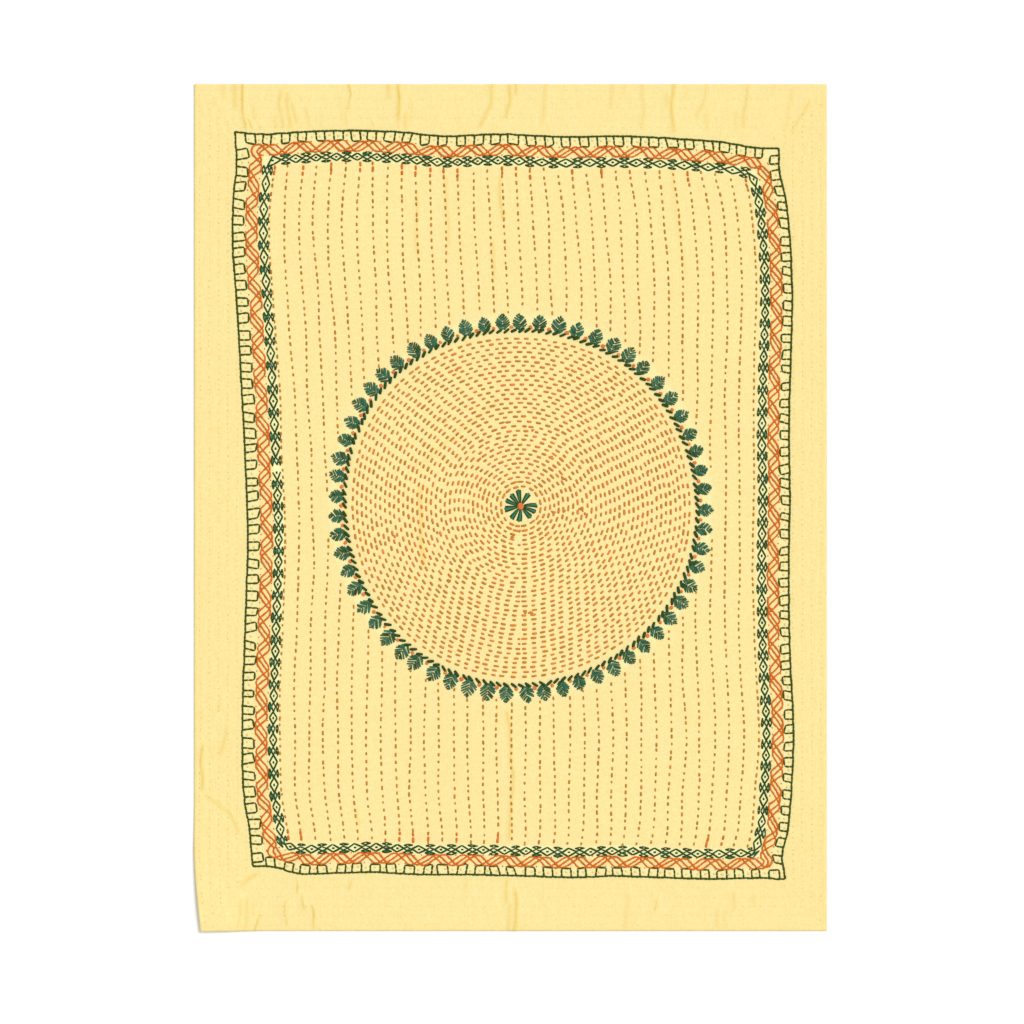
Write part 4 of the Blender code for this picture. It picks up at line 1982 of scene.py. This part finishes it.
class KanthaThread(bpy.types.PropertyGroup):
    """The threads' colours, two for each kind, and their widths."""

    plait: dye("Plait", "Orange of the plait", (0.900, 0.165, 0.014))
    plait_second: dye("Plait, worn", "Its browner stitches", (0.700, 0.170, 0.012))
    row: dye("Rows", "Orange of the ground's running stitch", (0.700, 0.270, 0.034))
    row_second: dye("Rows, worn", "Its browner stitches", (0.480, 0.200, 0.030))
    ring: dye("Rings", "Orange of the disc's running stitch", (0.815, 0.262, 0.046))
    ring_second: dye("Rings, worn", "Its browner stitches", (0.560, 0.240, 0.030))
    knot: dye("Knots", "Orange of the knots and the flower's middle", (0.900, 0.290, 0.095))
    knot_second: dye("Knots, worn", "Their darker stitches", (0.820, 0.210, 0.050))
    # Partly painted shade: these greens are darker, more olive copies of the one green thread of
    # the leaves and fill, for the shade on its thin lines.
    line: dye("Squares", "Green of the squares and their line", (0.074, 0.094, 0.005))
    line_second: dye("Squares, fresh", "Their bluer stitches", (0.046, 0.086, 0.012))
    chain: dye("Diamonds", "Green of the diamonds", (0.044, 0.070, 0.006))
    chain_second: dye("Diamonds, fresh", "Their bluer stitches", (0.026, 0.077, 0.021))
    leaf: dye("Leaves", "Green of the leaves and the rope line", (0.040, 0.096, 0.026))
    leaf_second: dye("Leaves, fresh", "Their bluer stitches", (0.060, 0.205, 0.125))
    fill: dye("Fill", "Blue-green between the diamonds and in the petals", (0.072, 0.260, 0.160))
    fill_second: dye("Fill, dark", "Its darker stitches", (0.046, 0.180, 0.092))
    # Painted shade and light: one yellow thread in two copies. The main quilting's is darker than
    # the cotton, painted in for the shade of the dimples its stitches pull; the finer rows' is
    # paler than the cotton, to offset the shade on their raised threads.
    quilting: dye("Quilting", "Yellow of the main quilting", (0.803, 0.656, 0.268))
    quilting_second: dye("Quilting, worn", "Its duller stitches", (0.768, 0.612, 0.243))
    fine: dye("Fine quilting", "Yellow of the finer rows", (0.930, 0.785, 0.350))
    fine_second: dye("Fine quilting, worn", "Its duller stitches", (0.900, 0.745, 0.325))
    spot: dye("Spots", "Ochre of the stitches inside the squares", (0.885, 0.630, 0.235))
    spot_second: dye("Spots, worn", "Their paler stitches", (0.885, 0.680, 0.275))
    row_width: size("Row stitch width", "Thread of the orange rows", 0.00215)
    ring_width: size("Ring stitch width", "Thread of the disc's rings", 0.00238)
    plait_width: size("Plait width", "Thread of the plait", 0.00192)
    line_width: size("Line width", "Thread of the outer line", 0.00235)
    block_width: size("Square width", "Thread of the squares", 0.00207)
    diamond_width: size("Diamond width", "Thread of the diamonds", 0.00194)
    leaf_width: size("Leaf width", "Thread of the leaves and the rope line", 0.00188)
    quilting_width: size("Quilting width", "Thread of the yellow quilting", 0.00095)


class KanthaStage(bpy.types.PropertyGroup):
    """The light and the camera."""

    key_strength: strength("Key light", "Strength of the main light", 1.84)
    fill_strength: strength("Fill light", "Strength of the light from all round", 0.635)
    camera_height: size("Camera height", "How high the camera hangs over the floor", 4.0)
    view_width: size("View width", "Width of the cloth's plane that the camera sees", 1.1001)


# ---------------------------------------------------------------- operators


class KANTHA_OT_cloth(bpy.types.Operator):
    """Add the quilted cotton cloth"""

    bl_idname = "kantha.cloth"
    bl_label = "Add Cloth"

    def execute(self, context):
        add_cloth(context.scene.kantha_cloth)
        return {"FINISHED"}


class KANTHA_OT_quilting(bpy.types.Operator):
    """Add the main yellow quilting stitches of the ground and the edge"""

    bl_idname = "kantha.quilting"
    bl_label = "Add Yellow Quilting"

    def execute(self, context):
        width = context.scene.kantha_thread.quilting_width
        between = np.arange(0.5, ROW_COUNT - 1.0)
        rows = field_stitches(between, pitch=0.0081, length=0.0021, seed=101, spread=0.20)
        bundles = [dotted(rows, 1.1 * width, 0.0, 0.26)]
        fine = thread("fine", turns=3, edge=0.0, plied=0.3)
        add_threads("yellow_quilting", bundles, fine, seed=103)
        ends, sides = edge_stitches(end_pitch=0.0068, side_pitch=0.0064, length=0.0023, seed=102)
        bundles = [dotted(ends, 1.50 * width, 0.02, 0.17), dotted(sides, 2.05 * width, 0.05, 0.19)]
        quilting_thread = thread("quilting", turns=3, edge=0.0, plied=0.3)
        add_threads("edge_quilting", bundles, quilting_thread, seed=105)
        return {"FINISHED"}


class KANTHA_OT_fine_quilting(bpy.types.Operator):
    """Add the finer yellow rows on both sides of each orange row"""

    bl_idname = "kantha.fine_quilting"
    bl_label = "Add Fine Quilting"

    def execute(self, context):
        width = context.scene.kantha_thread.quilting_width
        first = np.arange(ROW_COUNT - 1.0)
        beside = np.concatenate([first + 0.25, first + 0.75])
        rows = field_stitches(beside, pitch=0.0081, length=0.0019, seed=106, spread=0.22)
        fine = thread("fine", turns=3, edge=0.0, plied=0.3)
        bundles = [dotted(rows, width, 0.0, 0.24)]
        add_threads("fine_quilting", bundles, fine, seed=107)
        return {"FINISHED"}


class KANTHA_OT_rows(bpy.types.Operator):
    """Add the orange running stitch of the ground"""

    bl_idname = "kantha.rows"
    bl_label = "Add Orange Rows"

    def execute(self, context):
        width = context.scene.kantha_thread.row_width
        places = np.arange(float(ROW_COUNT))
        rows = field_stitches(places, pitch=0.0079, length=0.0041, seed=111)
        bundles = [stitched(rows, width, 0.22)]
        add_threads("orange_rows", bundles, thread("row", 4, edge=0.10), seed=112)
        fastened = fastening_stitches(places, pitch=0.0062, length=0.0050, seed=113)
        bundles = [stitched(fastened, 1.2 * width, 0.30)]
        add_threads("row_ends", bundles, thread("plait", 4, edge=0.25), seed=114)
        return {"FINISHED"}


class KANTHA_OT_rings(bpy.types.Operator):
    """Add the disc's rings of orange running stitch"""

    bl_idname = "kantha.rings"
    bl_label = "Add Disc Rings"

    def execute(self, context):
        width = context.scene.kantha_thread.ring_width
        rings = ring_stitches(inner_pitch=0.0086, outer_pitch=0.0102, length=0.0055, seed=121)
        knots = np.array(STRAY_KNOTS)
        stray = knots_at(knots[:, :2], 1.15 * knots[:, 2], seed=122)
        bundles = [stitched(rings, width, 0.20), stitched(stray, 0.85 * width, 0.34)]
        add_threads("disc_rings", bundles, thread("ring", 4, edge=0.10), seed=123)
        return {"FINISHED"}


class KANTHA_OT_blocks(bpy.types.Operator):
    """Add the green outer line, the squares that hang from it and the ochre spots among them"""

    bl_idname = "kantha.blocks"
    bl_label = "Add Square Border"

    def execute(self, context):
        settings = context.scene.kantha_thread
        line = outline_stitches(stitch=0.0046, seed=131)
        squares = chained(block_lines(seed=132), stitch=0.0052, seed=133)
        bundles = [
            stitched(line, settings.line_width, 0.30),
            stitched(squares, settings.block_width, 0.28),
        ]
        green = thread("line", 4, edge=0.35)
        add_threads("square_border", bundles, green, seed=134)
        spots = [dotted(block_dots(seed=104), SPOT_WIDTH, 0.0)]
        ochre = thread("spot", 3, edge=0.0, plied=0.3)
        add_threads("square_spots", spots, ochre, seed=135)
        return {"FINISHED"}


class KANTHA_OT_plait(bpy.types.Operator):
    """Add the orange plait of three zigzag threads"""

    bl_idname = "kantha.plait"
    bl_label = "Add Plait Border"

    def execute(self, context):
        width = context.scene.kantha_thread.plait_width
        halves = [side.plait_half + 0.0002 for side in SIDES]
        loop = loop_inside("plait_depth", halves, corner_radius=0.006)
        bundles = [
            Threads(plait_paths(loop, number, 141 + 3 * number), width, 0.24 + 0.22 * number)
            for number in range(PLAIT_THREADS)
        ]
        for across, seed in ((-1.0, 151), (1.0, 152)):
            bundles.append(dotted(gap_dots(loop, across, seed), 0.75 * width, 0.12))
        orange = thread("plait", 4, edge=0.25)
        add_threads("plait_border", bundles, orange, seed=153)
        return {"FINISHED"}


class KANTHA_OT_diamonds(bpy.types.Operator):
    """Add the green chain of diamonds"""

    bl_idname = "kantha.diamonds"
    bl_label = "Add Diamond Border"

    def execute(self, context):
        width = context.scene.kantha_thread.diamond_width
        loop = loop_inside("diamond_depth", DIAMOND_HALVES, corner_radius=0.007)
        big, small, dots = diamond_strokes(loop, seed=155)
        bundles = [
            stitched(big, width, 0.28),
            stitched(small, 0.80 * width, 0.32),
            stitched(dots, 1.10 * width, 0.22),
        ]
        green = thread("chain", 5, edge=0.35)
        add_threads("diamond_border", bundles, green, seed=156)
        bundles = [stitched(node_fills(loop, seed=157), 0.90 * width, 0.16)]
        add_threads("diamond_fill", bundles, thread("fill", 4, edge=0.45), seed=158)
        return {"FINISHED"}


class KANTHA_OT_leaves(bpy.types.Operator):
    """Add the ring of green leaves round the disc, its rope line and orange knots"""

    bl_idname = "kantha.leaves"
    bl_label = "Add Leaf Ring"

    def execute(self, context):
        width = context.scene.kantha_thread.leaf_width
        draw = np.random.default_rng(161)
        angles = leaf_angles(seed=162)
        tilts = draw.normal(0.0, 0.08, LEAF_COUNT)
        sizes = draw.uniform(0.88, 1.00, LEAF_COUNT) + swaying(LEAF_SIZE_SWAYS, angles)
        starts, ends = placed_round(leaf_strokes(), LEAF_BASE_RADIUS, angles, tilts, sizes)
        leaves = (unsteady(starts, 0.0004, seed=163), unsteady(ends, 0.0003, seed=164))
        bundles = [stitched(leaves, width, 0.34)]
        add_threads("leaf_ring", bundles, thread("leaf", 4, edge=0.50), seed=166)
        bundles = [stitched(rope_strokes(seed=165), 1.65 * width, 0.42)]
        add_threads("rope_line", bundles, thread("chain", 4, edge=0.45), seed=169)
        between = angles + math.pi / LEAF_COUNT
        places = in_disc(KNOT_RADIUS + ring_sway(between), between)
        sizes = draw.normal(0.0045, 0.0004, LEAF_COUNT)
        bundles = [stitched(satin_rounds(places, sizes, lanes=3, seed=167), 0.0017, 0.40)]
        add_threads("ring_knots", bundles, thread("knot", 4, edge=0.20), seed=168)
        return {"FINISHED"}


class KANTHA_OT_flower(bpy.types.Operator):
    """Add the flower in the middle of the disc"""

    bl_idname = "kantha.flower"
    bl_label = "Add Flower"

    def execute(self, context):
        bundles = [Threads(petal_paths(PETAL_MIDDLE, seed=171), 0.0017, 0.36)]
        fill = thread("fill", 8, edge=0.45)
        add_threads("flower_petals", bundles, fill, seed=172)
        bundles = [Threads(petal_paths(PETAL_EDGES, seed=175), 0.0016, 0.52)]
        add_threads("petal_edges", bundles, thread("chain", 8, edge=0.35), seed=176)
        middle = in_disc(np.zeros(1), np.zeros(1))
        knot = satin_rounds(middle, np.array([0.0080]), lanes=5, seed=173)
        bundles = [stitched(knot, 0.0018, 0.46)]
        add_threads("flower_knot", bundles, thread("knot", 5, edge=0.20), seed=174)
        return {"FINISHED"}


class KANTHA_OT_stage(bpy.types.Operator):
    """Add the floor, the light and the camera"""

    bl_idname = "kantha.stage"
    bl_label = "Add Floor, Light and Camera"

    def execute(self, context):
        settings = context.scene.kantha_stage
        add_floor()
        add_light(settings)
        add_camera(settings)
        return {"FINISHED"}


FLOOR_HALF = 3.0
FLOOR_GAP = 0.0003  # from the floor up to the surface that the quilt lies on
FLOOR_WHITE = (0.93, 0.93, 0.93, 1.0)
VIEW_CENTRE = (0.0016, -0.0048)
KEY_ANGLE = math.radians(24.0)
KEY_TURN = (math.radians(22.0), math.radians(16.0))
KEY_PLACE = (0.6, 0.6, 2.0)
SENSOR = 36.0  # millimetres


def add_floor():
    """A plain white floor under the quilt."""
    corners = FLOOR_HALF * np.array([[-1, -1, 0], [1, -1, 0], [1, 1, 0], [-1, 1, 0]], float)
    mesh = bpy.data.meshes.new("floor")
    mesh.from_pydata(corners.tolist(), [], [(0, 1, 2, 3)])
    material = bpy.data.materials.new("floor_white")
    material.use_nodes = True
    shader = material.node_tree.nodes["Principled BSDF"]
    shader.inputs["Base Color"].default_value = FLOOR_WHITE
    shader.inputs["Roughness"].default_value = 0.9
    shader.inputs["Specular IOR Level"].default_value = 0.0
    mesh.materials.append(material)
    floor = put("floor", mesh)
    floor.location.z = -FLOOR_GAP


def add_light(settings):
    """A soft key light from the upper right, and even light from all round."""
    lamp = bpy.data.lights.new("key", "SUN")
    lamp.energy = settings.key_strength
    lamp.angle = KEY_ANGLE
    key = put("key", lamp)
    key.rotation_euler = (-KEY_TURN[1], KEY_TURN[0], 0.0)
    key.location = KEY_PLACE
    world = bpy.data.worlds.new("even_light")
    world.use_nodes = True
    background = world.node_tree.nodes["Background"]
    background.inputs["Color"].default_value = (1.0, 1.0, 1.0, 1.0)
    background.inputs["Strength"].default_value = settings.fill_strength
    bpy.context.scene.world = world
    bpy.context.scene.view_settings.view_transform = "Standard"


def add_camera(settings):
    """A camera straight above the quilt, with a lens as long as its height asks for."""
    data = bpy.data.cameras.new("camera")
    data.sensor_width = SENSOR
    data.lens = SENSOR * (settings.camera_height - CLOTH_THICKNESS) / settings.view_width
    camera = put("camera", data)
    camera.location = (*VIEW_CENTRE, settings.camera_height)
    bpy.context.scene.camera = camera


class KANTHA_PT_panel(bpy.types.Panel):
    """The quilt's settings and its pieces"""

    bl_idname = "KANTHA_PT_panel"
    bl_label = "Kantha Quilt"
    bl_space_type = "VIEW_3D"
    bl_region_type = "UI"
    bl_category = "Kantha"

    def draw(self, context):
        layout = self.layout
        scene = context.scene
        for group in (scene.kantha_cloth, scene.kantha_thread, scene.kantha_stage):
            box = layout.box()
            for name in group.__annotations__:
                box.prop(group, name)
        for operator in OPERATORS:
            layout.operator(operator.bl_idname)


SETTINGS = (
    ("kantha_cloth", KanthaCloth),
    ("kantha_thread", KanthaThread),
    ("kantha_stage", KanthaStage),
)
OPERATORS = (
    KANTHA_OT_cloth,
    KANTHA_OT_quilting,
    KANTHA_OT_fine_quilting,
    KANTHA_OT_rows,
    KANTHA_OT_rings,
    KANTHA_OT_blocks,
    KANTHA_OT_plait,
    KANTHA_OT_diamonds,
    KANTHA_OT_leaves,
    KANTHA_OT_flower,
    KANTHA_OT_stage,
)


def register():
    for name, group in SETTINGS:
        bpy.utils.register_class(group)
        setattr(bpy.types.Scene, name, PointerProperty(type=group))
    for operator in OPERATORS:
        bpy.utils.register_class(operator)
    bpy.utils.register_class(KANTHA_PT_panel)


def unregister():
    bpy.utils.unregister_class(KANTHA_PT_panel)
    for operator in reversed(OPERATORS):
        bpy.utils.unregister_class(operator)
    for name, group in reversed(SETTINGS):
        delattr(bpy.types.Scene, name)
        bpy.utils.unregister_class(group)


def main():
    for startup in list(bpy.data.objects):
        if startup.name in ("Cube", "Light", "Camera"):
            bpy.data.objects.remove(startup)
    register()
    for operator in OPERATORS:
        family, name = operator.bl_idname.split(".")
        getattr(getattr(bpy.ops, family), name)()


if __name__ == "__main__":
    main()
